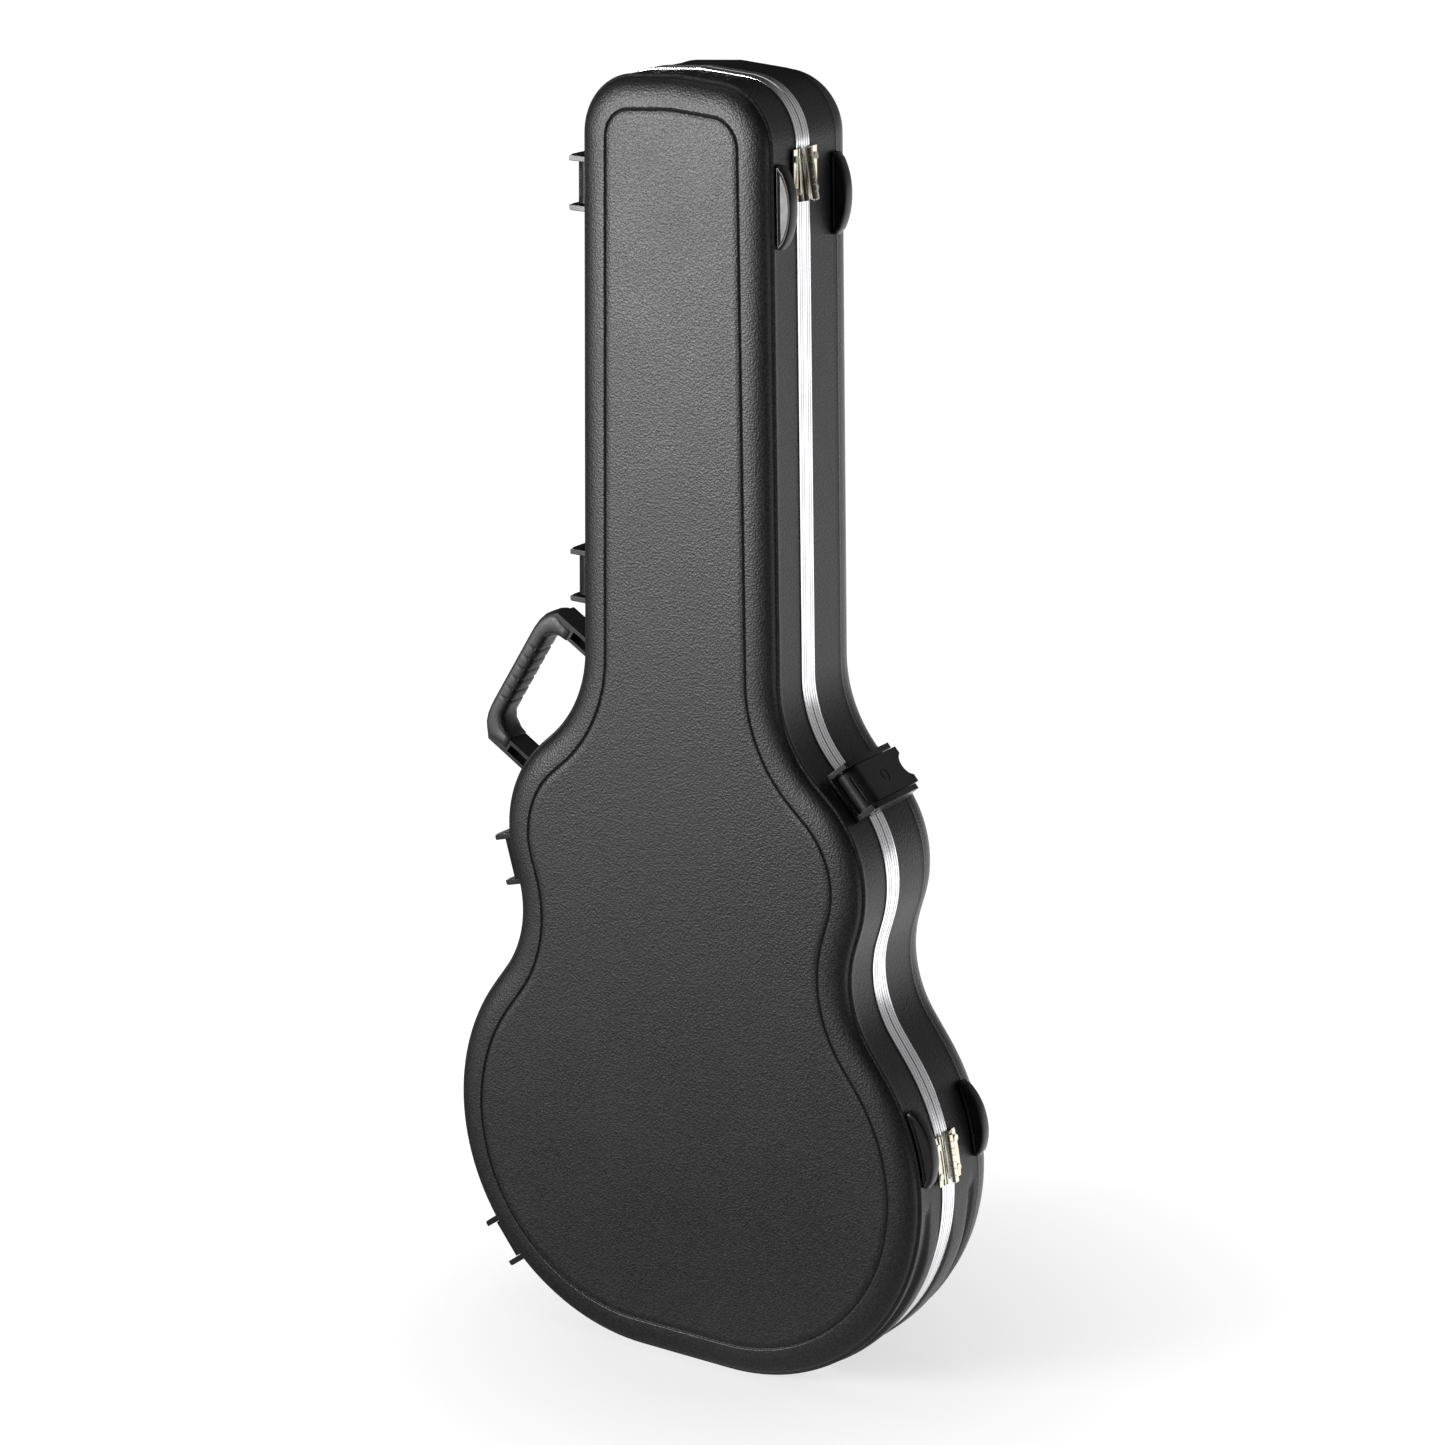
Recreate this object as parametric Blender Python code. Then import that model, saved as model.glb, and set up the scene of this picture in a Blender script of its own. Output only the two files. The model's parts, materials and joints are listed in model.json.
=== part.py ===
"""Hard-shell guitar case, standing upright on its bottom edge.

Two moulded ABS shells meet at an aluminium valance. The lid is the front shell
(towards -Y), the base is the deeper back shell. Two butt hinges on the right
side carry the lid, five lever latches hold it, and a folding handle sits in the
curve between the neck and the upper bout.

The case is drawn about its seam: X across from the centreline, Y from the seam
plane towards the back, Z up from the lowest point of the rim. An empty then
sets the whole case so that the centre of its footprint box is the origin.
Lengths are in metres.
"""

import math

import bmesh
import bpy
from mathutils import Matrix, Vector

# ---------------------------------------------------------------- driving sizes
# Outline of the valance, right half, from the middle of the bottom edge.
# Each entry is ("line", length) or ("arc", radius, degrees turned); a negative
# turn is a hollow. The neck line's taper and the top edge close the outline.
OUTLINE = [
    ("line", 0.0471),
    ("arc", 0.1960, 58.14),
    ("arc", 0.1973, 68.02),
    ("line", 0.0240),
    ("arc", 0.0973, -52.55),
    ("line", 0.0172),
    ("arc", 0.1094, 64.36),
    ("line", 0.0173),
    ("arc", 0.1091, -47.13),
    ("line", 0.4465),
    ("arc", 0.0544, 85.11),
]
ARC_STEP = 12.0  # degrees between the points of an arc
RIM_LIFT = 0.0015  # the outline's bottom above the floor

WALL = 0.003
RIM_INSET = 0.0015  # shell walls stand this far inside the valance
RIM_EDGE_Y = 0.0086  # the shells' free edges, either side of the seam
LID_RIDGE_Y = -0.0442
LID_FACE_Y = -0.0537
BASE_RIDGE_Y = 0.0528
BASE_FACE_Y = 0.0838
SHOULDER = 0.0238  # width of the rounded shoulder between ridge and face
SHOULDER_INSET = 0.0021
SHOULDER_STEPS = 3
LID_BEAD_Y = (-0.0130, -0.0290)  # standing bead round the bottom of each shell
BASE_BEAD_Y = (0.0130, 0.0370)
BEAD_PROUD = 0.0015
BEAD_END = 0.360  # the bead stops this far along the outline

VALANCE_HALF = 0.0100
VALANCE_SKIN = 0.0012
VALANCE_DEPTH = 0.0062
SEAM_GAP = 0.0002
FIT = 0.0003  # gap between pieces that touch

LINER_GAP = 0.0006
BASE_LINER = 0.0092
LID_LINER = 0.0068

# Places along the outline (metres from the middle of the bottom edge)
HINGE_UPPER = 1.2640
HINGE_LOWER = 0.3900
HINGE_STANDOFF = {"upper": 0.0080, "lower": 0.0062}
LATCHES = {
    "neck": ("left", 1.2412, 0.0),
    "shoulder": ("left", 0.9018, 0.0),
    "waist": ("left", 0.6080, 0.0010),
    "bottom": ("left", 0.2153, 0.0030),
    "hinge_side": ("right", 0.7292, 0.0),
}
BUMPERS = {"upper": (1.2065, 1.2747), "lower": (0.3757, 0.4429)}
LID_BUMPER_Y = (-0.0415, -0.0305)
BASE_BUMPER_Y = (0.0425, 0.0530)
BUMPER_PROUD = 0.0155
BUMPER_END = 0.0035

# Footprint box: half the case each way from the origin
RIGHTMOST = 0.2525
LEFTMOST = -0.2433
CASE_PLACE = Vector((-(RIGHTMOST + LEFTMOST) / 2, -(BASE_FACE_Y + LID_FACE_Y) / 2, 0.0))

Y_AXIS = Vector((0.0, 1.0, 0.0))


# ---------------------------------------------------------------- scene helpers
for old in list(bpy.data.objects):
    bpy.data.objects.remove(old, do_unlink=True)

case = bpy.data.objects.new("case_frame", None)
case.location = CASE_PLACE
bpy.context.scene.collection.objects.link(case)


def material(name, colour, roughness, metallic=0.0):
    """A plain surface with the given colour and gloss."""
    made = bpy.data.materials.new(name)
    made.use_nodes = True
    surface = made.node_tree.nodes["Principled BSDF"]
    surface.inputs["Base Color"].default_value = (*colour, 1.0)
    surface.inputs["Roughness"].default_value = roughness
    surface.inputs["Metallic"].default_value = metallic
    return made


ABS = material("abs", (0.045, 0.045, 0.048), 0.55)
NYLON = material("nylon", (0.016, 0.016, 0.017), 0.28)
RUBBER = material("rubber", (0.03, 0.03, 0.032), 0.6)
ALUMINIUM = material("aluminium", (0.78, 0.78, 0.80), 0.3, 1.0)
NICKEL = material("nickel", (0.72, 0.68, 0.58), 0.2, 1.0)
PLUSH = material("plush", (0.05, 0.05, 0.055), 0.95)
FOAM = material("foam", (0.07, 0.07, 0.075), 0.9)
RIBBON = material("ribbon", (0.02, 0.02, 0.022), 0.8)

pivots = {}


def pivot(name, place, turn=None):
    """An empty on a joint's axis, which the moving pieces hang from."""
    empty = bpy.data.objects.new(name, None)
    empty.parent = case
    empty.location = place
    if turn is not None:
        empty.rotation_euler = turn.to_euler()
    bpy.context.scene.collection.objects.link(empty)
    pivots[name] = empty
    return empty


def add(name, mesh, finish, frame=None, parent=None):
    """Places a mesh, drawn in the local frame given as a 4x4 matrix."""
    piece = bpy.data.objects.new(name, mesh)
    if not mesh.materials:
        mesh.materials.append(finish)
    bpy.context.scene.collection.objects.link(piece)
    placed = frame if frame is not None else Matrix.Identity(4)
    piece.parent = parent if parent is not None else case
    if parent is not None:
        placed = Matrix.LocRotScale(parent.location, parent.rotation_euler, None).inverted() @ placed
    piece.matrix_local = placed
    return piece


def finish_mesh(name, bm, smooth=False):
    bmesh.ops.recalc_face_normals(bm, faces=bm.faces)
    mesh = bpy.data.meshes.new(name)
    bm.to_mesh(mesh)
    bm.free()
    if smooth:
        mesh.shade_smooth()
        mesh.set_sharp_from_angle(angle=math.radians(30))
    return mesh


def lofted(name, loops, closed=False, smooth=False):
    """Skins a list of equal closed loops, and caps both ends unless the last
    loop joins the first."""
    bm = bmesh.new()
    rings = [[bm.verts.new(p) for p in loop] for loop in loops]
    pairs = list(zip(rings, rings[1:]))
    if closed:
        pairs.append((rings[-1], rings[0]))
    for low, high in pairs:
        for i in range(len(low)):
            j = (i + 1) % len(low)
            bm.faces.new((low[i], low[j], high[j], high[i]))
    if not closed:
        bm.faces.new(list(reversed(rings[0])))
        bm.faces.new(rings[-1])
    return finish_mesh(name, bm, smooth)


def prism(name, profile, low, high, axis):
    """Pushes a flat profile along one axis (0, 1 or 2) from low to high. The
    profile's pairs are the other two axes, in order."""
    others = [k for k in range(3) if k != axis]

    def point(pair, along):
        p = [0.0, 0.0, 0.0]
        p[axis] = along
        p[others[0]], p[others[1]] = pair
        return p

    return lofted(name, [[point(q, low) for q in profile], [point(q, high) for q in profile]])


def block(name, low, high):
    (x0, y0, z0), (x1, y1, z1) = low, high
    return prism(name, [(x0, y0), (x1, y0), (x1, y1), (x0, y1)], z0, z1, 2)


def rod(name, radius, low, high, axis, sides=12, centre=(0.0, 0.0)):
    """A round bar along one axis; centre is its place on the other two."""
    ring = [
        (centre[0] + radius * math.cos(math.tau * k / sides), centre[1] + radius * math.sin(math.tau * k / sides))
        for k in range(sides)
    ]
    return prism(name, ring, low, high, axis)


def combine(piece, mesh, operation):
    """Joins a second mesh, drawn in the piece's own frame, by a Boolean."""
    tool = bpy.data.objects.new(piece.name + "_tool", mesh)
    bpy.context.scene.collection.objects.link(tool)
    tool.parent = piece
    tool.hide_render = True
    tool.display_type = "WIRE"
    step = piece.modifiers.new(operation.lower(), "BOOLEAN")
    step.operation = operation
    step.solver = "EXACT"
    step.object = tool
    return piece


def cut(piece, mesh):
    return combine(piece, mesh, "DIFFERENCE")


def fuse(piece, mesh):
    return combine(piece, mesh, "UNION")


# ---------------------------------------------------------------- the outline
def walk_outline():
    """The right half of the valance outline as (distance, point, normal)."""
    stations = []
    x, z, heading, travelled = 0.0, RIM_LIFT, 0.0, 0.0

    def note(px, pz, angle, distance):
        stations.append((distance, Vector((px, 0.0, pz)), Vector((math.sin(angle), 0.0, -math.cos(angle)))))

    note(x, z, heading, 0.0)
    for kind, size, *turned in OUTLINE:
        if kind == "line":
            x += size * math.cos(heading)
            z += size * math.sin(heading)
            travelled += size
            note(x, z, heading, travelled)
            continue
        turn = math.radians(turned[0])
        side = math.copysign(1.0, turn)
        cx = x - side * size * math.sin(heading)
        cz = z + side * size * math.cos(heading)
        steps = max(2, round(abs(turned[0]) / ARC_STEP))
        for k in range(1, steps + 1):
            angle = heading + turn * k / steps
            px = cx + side * size * math.sin(angle)
            pz = cz - side * size * math.cos(angle)
            note(px, pz, angle, travelled + size * abs(turn) * k / steps)
        heading += turn
        travelled += size * abs(turn)
        x, z = px, pz
    top = -x / math.cos(heading)
    note(0.0, z + top * math.sin(heading), math.pi, travelled + top)
    return stations


STATIONS = walk_outline()


def rim_point(distance, out=0.0, y=0.0, side="right"):
    """A point out from the outline at a distance along it, on either side."""
    for (d0, p0, n0), (d1, p1, n1) in zip(STATIONS, STATIONS[1:]):
        if d0 <= distance <= d1:
            part = (distance - d0) / (d1 - d0)
            point = p0.lerp(p1, part) + n0.lerp(n1, part).normalized() * out
            break
    point.y = y
    if side == "left":
        point.x = -point.x
    return point


def rim_normal(distance, side="right"):
    ahead = rim_point(distance + 0.004, side="right") - rim_point(distance - 0.004, side="right")
    normal = Vector((ahead.z, 0.0, -ahead.x)).normalized()
    if side == "left":
        normal.x = -normal.x
    return normal


def rim_frame(distance, side, lift=0.0):
    """A local frame on the rim: X along it, Y towards the back, Z outwards."""
    normal = rim_normal(distance, side)
    along = Y_AXIS.cross(normal)
    turn = Matrix((along, Y_AXIS, normal)).transposed().to_4x4()
    return Matrix.Translation(rim_point(distance, lift, 0.0, side)) @ turn


def ring(out, y, bead=0.0):
    """A closed loop round the case. Below the bead's end it stands further
    out by bead."""
    half = []
    for distance, point, normal in STATIONS:
        extra = bead if distance < BEAD_END else 0.0
        p = point + normal * (out + extra)
        half.append(Vector((p.x, y, p.z)))
    mirrored = [Vector((-p.x, p.y, p.z)) for p in reversed(half[1:-1])]
    return half + mirrored


def shoulder(ridge_y, face_y, wall):
    """Loops of the rounded shoulder, wall deep under its outer surface, from
    the ridge to the face."""
    centre = -(SHOULDER_INSET + SHOULDER)
    width = SHOULDER - wall
    depth = face_y - ridge_y - math.copysign(wall, face_y)
    loops = []
    for k in range(SHOULDER_STEPS + 1):
        angle = math.pi / 2 * k / SHOULDER_STEPS
        loops.append(ring(centre + width * math.cos(angle), ridge_y + depth * math.sin(angle)))
    return loops


# ---------------------------------------------------------------- shells
def shell(name, edge_y, bead_y, ridge_y, face_y):
    """An open tray: band wall, standing bead, ridge, shoulder and flat face."""
    wall_out = -RIM_INSET
    rise = RIM_INSET + BEAD_PROUD
    sign = math.copysign(1.0, edge_y)
    outer = [
        ring(wall_out, edge_y),
        ring(wall_out, bead_y[0] - sign * BEAD_PROUD),
        ring(wall_out, bead_y[0], rise),
        ring(wall_out, bead_y[1], rise),
        ring(wall_out, bead_y[1] + sign * BEAD_PROUD),
    ]
    outer += shoulder(ridge_y, face_y, 0.0)
    inner = [ring(wall_out - WALL, edge_y)] + shoulder(ridge_y, face_y, WALL)
    return add(name, lofted(name, list(reversed(inner)) + outer), ABS)


lid_shell = shell("lid_shell", -RIM_EDGE_Y, LID_BEAD_Y, LID_RIDGE_Y, LID_FACE_Y)
base_shell = shell("base_shell", RIM_EDGE_Y, BASE_BEAD_Y, BASE_RIDGE_Y, BASE_FACE_Y)


def valance(name, sign):
    """The aluminium rim: a step section that caps one shell's free edge."""
    section = [
        (0.0, SEAM_GAP),
        (0.0, VALANCE_HALF),
        (-VALANCE_SKIN, VALANCE_HALF),
        (-VALANCE_SKIN, RIM_EDGE_Y - FIT),
        (-VALANCE_DEPTH, RIM_EDGE_Y - FIT),
        (-VALANCE_DEPTH, SEAM_GAP),
    ]
    return add(name, lofted(name, [ring(out, sign * y) for out, y in section], closed=True), ALUMINIUM)


lid_valance = valance("lid_valance", -1.0)
base_valance = valance("base_valance", 1.0)


def liner(name, sign, ridge_y, face_y, thickness):
    """Plush-faced foam that follows the inside of a shell."""
    edge = sign * (RIM_EDGE_Y + LINER_GAP)
    skin = WALL + LINER_GAP
    outer = shoulder(ridge_y, face_y, skin)
    inner = shoulder(ridge_y, face_y, skin + thickness)
    # A shallow lid leaves the inner shoulder no depth, so it turns square there.
    if abs(face_y - ridge_y) < skin + thickness:
        floor = face_y - sign * (skin + thickness)
        inner = [ring(-(SHOULDER_INSET + skin + thickness), floor)]
    out_edge = ring(-(SHOULDER_INSET + skin), edge)
    in_edge = ring(-(SHOULDER_INSET + skin + thickness), edge)
    return add(name, lofted(name, list(reversed(inner)) + [in_edge, out_edge] + outer), PLUSH)


base_liner = liner("base_liner", 1.0, BASE_RIDGE_Y, BASE_FACE_Y, BASE_LINER)
lid_liner = liner("lid_liner", -1.0, LID_RIDGE_Y, LID_FACE_Y, LID_LINER)


# ---------------------------------------------------------------- inside the base
BOX_HALF = 0.0828
BOX_LOW, BOX_HIGH = 0.7335, 0.8015
BOX_FRONT, BOX_BACK = 0.0345, 0.0707
BOX_WALL = 0.0025
LINER_CORNER = (0.0114, 0.0186)  # rounded corner of the liner behind both
DOOR_FRONT, DOOR_BACK = 0.0315, 0.0340
CRADLE_LOW, CRADLE_HIGH = 0.9015, 0.9415
CRADLE_FRONT, CRADLE_BACK = 0.0120, 0.0707
CRADLE_NOTCH = 0.0300  # radius of the hollow that the neck lies in



def trough(half, front, back):
    """A section that fills the base from side to side, its back corners cut
    to clear the liner."""
    side, deep = LINER_CORNER
    return [
        (-half, front),
        (half, front),
        (half, back - deep),
        (half - side, back),
        (-half + side, back),
        (-half, back - deep),
    ]


accessory_box = add(
    "accessory_box",
    prism("accessory_box", trough(BOX_HALF, BOX_FRONT, BOX_BACK), BOX_LOW, BOX_HIGH, 2),
    PLUSH,
)
hollow = trough(BOX_HALF - BOX_WALL, BOX_FRONT - BOX_WALL, BOX_BACK - BOX_WALL)
cut(accessory_box, prism("box_hollow", hollow, BOX_LOW + BOX_WALL, BOX_HIGH - BOX_WALL, 2))

door_pivot = pivot("accessory_door_pivot", (0.0, DOOR_BACK, BOX_HIGH))
add(
    "accessory_door",
    block("accessory_door", (-BOX_HALF, DOOR_FRONT, BOX_LOW + 0.0010), (BOX_HALF, DOOR_BACK, BOX_HIGH)),
    PLUSH,
    parent=door_pivot,
)
add(
    "accessory_pull_tab",
    block(
        "accessory_pull_tab",
        (-0.0090, DOOR_FRONT - 0.0015, BOX_LOW - 0.0130),
        (0.0090, DOOR_FRONT - FIT, BOX_LOW + 0.0130),
    ),
    RIBBON,
    parent=door_pivot,
)

CRADLE_HALF = 0.0808


def cradle_section():
    """Across the cradle: a block with a round hollow in its front."""
    arc = []
    for k in range(9):
        angle = math.pi * k / 8
        arc.append((-CRADLE_NOTCH * math.cos(angle), CRADLE_FRONT + CRADLE_NOTCH * math.sin(angle)))
    section = trough(CRADLE_HALF, CRADLE_FRONT, CRADLE_BACK)
    return section[:1] + arc + section[1:]


add("neck_cradle", prism("neck_cradle", cradle_section(), CRADLE_LOW, CRADLE_HIGH, 2), FOAM)


# ---------------------------------------------------------------- hinges
HINGE_HALF = 0.0215
KNUCKLE_R = 0.0033
HINGE_PIN_R = 0.0014
LEAF_REACH = 0.0175  # from the seam to a leaf's free edge
LEAF_SKIN = 0.0013
LEAF_CLEAR = 0.0006  # a leaf's gap to the valance
KNUCKLE_CUTS = (-0.0215, -0.0072, 0.0072, 0.0215)  # lid, base, lid
RIVET_Y = 0.0142
RIVET_ALONG = (-0.0130, 0.0130)
RIVET_R = 0.0016
RIVET_HEAD = (0.0031, 0.0014)

hinge_top = rim_point(HINGE_UPPER) + rim_normal(HINGE_UPPER) * HINGE_STANDOFF["upper"]
hinge_low = rim_point(HINGE_LOWER) + rim_normal(HINGE_LOWER) * HINGE_STANDOFF["lower"]
AXIS = (hinge_top - hinge_low).normalized()
AXIS_OUT = Vector((AXIS.z, 0.0, -AXIS.x))
axis_turn = Matrix((Y_AXIS.cross(AXIS_OUT), Y_AXIS, AXIS_OUT)).transposed()
lid_pivot = pivot("lid_pivot", hinge_low)


def gap_to_rim(point, out):
    """How far in from a point on the axis the rim lies, at the given stand-off."""
    path = [p + n * out for _, p, n in STATIONS]
    best = None
    for a, b in zip(path, path[1:]):
        edge = b - a
        spread = AXIS_OUT.x * edge.z - AXIS_OUT.z * edge.x
        if abs(spread) < 1e-9:
            continue
        rel = a - point
        reach = (rel.x * edge.z - rel.z * edge.x) / spread
        part = (rel.x * AXIS_OUT.z - rel.z * AXIS_OUT.x) / spread
        if -1e-9 <= part <= 1 + 1e-9 and (best is None or abs(reach) < abs(best)):
            best = reach
    return best


def leaf(name, centre, sign):
    """A cast leaf: its underside follows the rim, its top lies along the axis."""
    loops = []
    for k in range(5):
        along = -HINGE_HALF + 2 * HINGE_HALF * k / 4
        seat = gap_to_rim(centre + AXIS * -along, LEAF_CLEAR)
        top = -KNUCKLE_R * 0.35
        edge = seat + LEAF_SKIN
        near, far = sign * 0.0006, sign * LEAF_REACH
        loops.append(
            [
                (along, near, seat),
                (along, far, seat),
                (along, far, edge),
                (along, sign * 0.0095, max(edge, -KNUCKLE_R)),
                (along, sign * 0.0048, top),
                (along, near, top),
            ]
        )
    return lofted(name, loops)


def hinge(label, centre):
    frame = Matrix.Translation(centre) @ axis_turn.to_4x4()
    for part, sign, spans in (
        ("base", 1.0, [KNUCKLE_CUTS[1:3]]),
        ("lid", -1.0, [KNUCKLE_CUTS[0:2], KNUCKLE_CUTS[2:4]]),
    ):
        parent = lid_pivot if part == "lid" else None
        name = f"hinge_{label}_{part}_leaf"
        piece = add(name, leaf(name, centre, sign), NICKEL, frame, parent)
        for low, high in zip(KNUCKLE_CUTS, KNUCKLE_CUTS[1:]):
            own = (low, high) in spans
            if own:
                fuse(piece, rod("knuckle", KNUCKLE_R, low + FIT / 2, high - FIT / 2, 0))
            else:
                reach = KNUCKLE_R + 2 * FIT
                cut(piece, rod("knuckle_room", reach, low - FIT / 2, high + FIT / 2, 0))
        cut(piece, rod("pin_bore", HINGE_PIN_R + FIT, -HINGE_HALF - 0.001, HINGE_HALF + 0.001, 0, 8))
        shell_piece = lid_shell if part == "lid" else base_shell
        for count, along in enumerate(RIVET_ALONG, 1):
            place = centre + AXIS * -along
            seat = gap_to_rim(place, LEAF_CLEAR)
            spot = (along, sign * RIVET_Y)
            inside = seat - LEAF_CLEAR - RIM_INSET - WALL
            top = seat + LEAF_SKIN
            hole = RIVET_R + FIT
            cut(piece, rod("rivet_hole", hole, seat - 0.002, top + 0.006, 2, 8, spot))
            cut(piece, rod("rivet_seat", RIVET_HEAD[0] + FIT, top, top + 0.006, 2, 10, spot))
            through = rod("rivet_hole", hole, inside - 0.002, seat + 0.001, 2, 8, spot)
            through.transform(shell_piece.matrix_local.inverted() @ frame)
            cut(shell_piece, through)
            rivet_name = f"hinge_{label}_{part}_rivet_{count}"
            rivet = add(
                rivet_name, rod(rivet_name, RIVET_R, inside + FIT, top + FIT * 2, 2, 8, spot), NICKEL, frame, parent
            )
            fuse(rivet, rod("rivet_head", RIVET_HEAD[0], top + FIT, top + FIT + RIVET_HEAD[1], 2, 10, spot))
    add(
        f"hinge_{label}_pin",
        rod(f"hinge_{label}_pin", HINGE_PIN_R, -HINGE_HALF - 0.0008, HINGE_HALF + 0.0008, 0, 8),
        NICKEL,
        frame,
    )


hinge("upper", hinge_top)
hinge("lower", hinge_low)


# ---------------------------------------------------------------- bumpers
def bumper(name, span, depth, parent):
    """A half-moon fender: its root follows the band, its back is an arc."""
    start, end = span
    steps = 8
    root, crown = [], []
    for k in range(steps + 1):
        part = k / steps
        distance = start + (end - start) * part
        swell = BUMPER_END + (BUMPER_PROUD - BUMPER_END) * (1 - (2 * part - 1) ** 2)
        root.append(rim_point(distance, -RIM_INSET + 2 * FIT))
        crown.append(rim_point(distance, swell))
    outline = [(p.x, p.z) for p in root + list(reversed(crown))]
    piece = add(name, prism(name, outline, depth[0], depth[1], 1), NYLON, parent=parent)
    edge = piece.modifiers.new("edge", "BEVEL")
    edge.width = 0.0012
    edge.segments = 1
    edge.limit_method = "ANGLE"
    edge.angle_limit = math.radians(50)
    return piece


for label, span in BUMPERS.items():
    bumper(f"lid_bumper_{label}", span, LID_BUMPER_Y, lid_pivot)
    bumper(f"base_bumper_{label}", span, BASE_BUMPER_Y, None)


# ---------------------------------------------------------------- latches
WING_IN, WING_OUT = 0.0184, 0.0234
WING_TOP = 0.0240
BRACKET_BACK = 0.0420
SEAT = -RIM_INSET + 0.0004
PLATE_TOP = 0.0020
LATCH_PIN = (-0.0165, 0.0140)  # back from the seam, out from the rim
LATCH_PIN_R = 0.0020
BARREL_R = 0.0068
LEVER_HALF = 0.0179
LEVER_TOP = 0.0228
LEVER_UNDER = 0.0180
LEVER_TIP = 0.0455
SCOOP_R = 0.0105
KEEPER_FRONT, KEEPER_BACK = -0.0312, -0.0288


def wing_profile():
    """Side view of a guard wing: it arches over the lid's edge."""
    return [
        (BRACKET_BACK, SEAT),
        (BRACKET_BACK, WING_TOP - 0.0040),
        (BRACKET_BACK - 0.0040, WING_TOP),
        (-0.0255, WING_TOP),
        (-0.0280, WING_TOP - 0.0025),
        (-0.0280, 0.0160),
        (-0.0200, 0.0090),
        (-0.0060, 0.0035),
        (0.0102, 0.0020),
        (0.0106, SEAT),
    ]


def bracket_mesh():
    return prism("latch_wing", wing_profile(), -WING_OUT, -WING_IN, 0)


def lever_profile():
    """Side view of the lever: a barrel round the pin, then a flat plate."""
    y0, n0 = LATCH_PIN
    first = math.asin((LEVER_TOP - n0 - 0.0022) / BARREL_R)
    last = -math.asin(0.35)
    around = []
    steps = 9
    for k in range(steps + 1):
        angle = first + (math.tau + last - first) * k / steps
        around.append((y0 + BARREL_R * math.cos(angle), n0 + BARREL_R * math.sin(angle)))
    return around + [
        (0.0020, LEVER_UNDER),
        (LEVER_TIP, LEVER_UNDER + 0.0010),
        (LEVER_TIP, LEVER_TOP + 0.0004),
        (0.0020, LEVER_TOP),
    ]


def keeper_profile():
    """Front view of the keeper: a low lip between two posts."""
    return [
        (-WING_OUT, SEAT),
        (WING_OUT, SEAT),
        (WING_OUT, WING_TOP - 0.0015),
        (WING_OUT - 0.0015, WING_TOP - 0.0004),
        (WING_IN, WING_TOP - 0.0004),
        (WING_IN, 0.0060),
        (-WING_IN, 0.0060),
        (-WING_IN, WING_TOP - 0.0004),
        (-WING_OUT + 0.0015, WING_TOP - 0.0004),
        (-WING_OUT, WING_TOP - 0.0015),
    ]


def latch(label, side, distance, lift):
    frame = rim_frame(distance, side, lift)
    bracket = add(f"latch_{label}_bracket", bracket_mesh(), NYLON, frame)
    fuse(bracket, prism("far_wing", wing_profile(), WING_IN, WING_OUT, 0))
    plate = block("plate", (-WING_IN - 0.002, 0.0125, SEAT + 0.0002), (WING_IN + 0.002, 0.0405, PLATE_TOP))
    fuse(bracket, plate)
    bore = rod("pin_bore", LATCH_PIN_R + FIT, -WING_OUT - 0.002, WING_OUT + 0.002, 0, 8, LATCH_PIN)
    cut(bracket, bore)

    keeper = add(
        f"latch_{label}_keeper",
        prism("latch_keeper", keeper_profile(), KEEPER_FRONT, KEEPER_BACK, 1),
        NYLON,
        frame,
        lid_pivot,
    )
    fuse(keeper, block("strike", (-0.0150, KEEPER_BACK - 0.001, SEAT + 0.0002), (0.0150, -0.0190, 0.0022)))

    swing = pivot(f"latch_{label}_pivot", frame @ Vector((0.0, *LATCH_PIN)), frame.to_3x3())
    lever = add(
        f"latch_{label}_lever",
        prism("latch_lever", lever_profile(), -LEVER_HALF, LEVER_HALF, 0),
        NYLON,
        frame,
        swing,
    )
    scoop = rod("scoop", SCOOP_R, LEVER_UNDER - 0.004, LEVER_TOP + 0.004, 2, 14, (0.0, LEVER_TIP + 0.0028))
    cut(lever, scoop)
    cut(lever, rod("pin_bore", LATCH_PIN_R + FIT, -LEVER_HALF - 0.002, LEVER_HALF + 0.002, 0, 8, LATCH_PIN))

    pin = add(
        f"latch_{label}_pin",
        rod("latch_pin", LATCH_PIN_R, -WING_OUT - 0.0008, WING_OUT + 0.0008, 0, 8, LATCH_PIN),
        NICKEL,
        frame,
    )
    return pin


for label, (side, distance, lift) in LATCHES.items():
    latch(label, side, distance, lift)


# ---------------------------------------------------------------- handle
# The handle is drawn in its own frame: X along the grip upwards, Y towards the
# back, Z out from the case. The frame's origin lies on the pivot line, midway.
GRIP_LEAN = 31.7  # degrees that the grip leans from upright
HANDLE_MID = Vector((-0.1515, 0.0, 0.5685))
ARM_OUTER = 0.0745  # from the middle to the outside of an arm
ARM_INNER = 0.0600
ARM_HALF = 0.0122
ARM_FOOT = -0.0052
ARM_CORNER = 0.0455  # the arm's straight part ends here
GRIP_TOP = 0.0605
GRIP_BOTTOM = 0.0440
GRIP_HALF = 0.0135
GRIP_FOOT = 0.0265
CORE_TOP, CORE_BOTTOM = 0.0580, 0.0470
SLOT_IN, SLOT_OUT = 0.0634, 0.0710
SLOT_TOP = 0.0235
HANDLE_PIN_R = 0.0025
KNOB = (0.0042, 0.0055)

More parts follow.
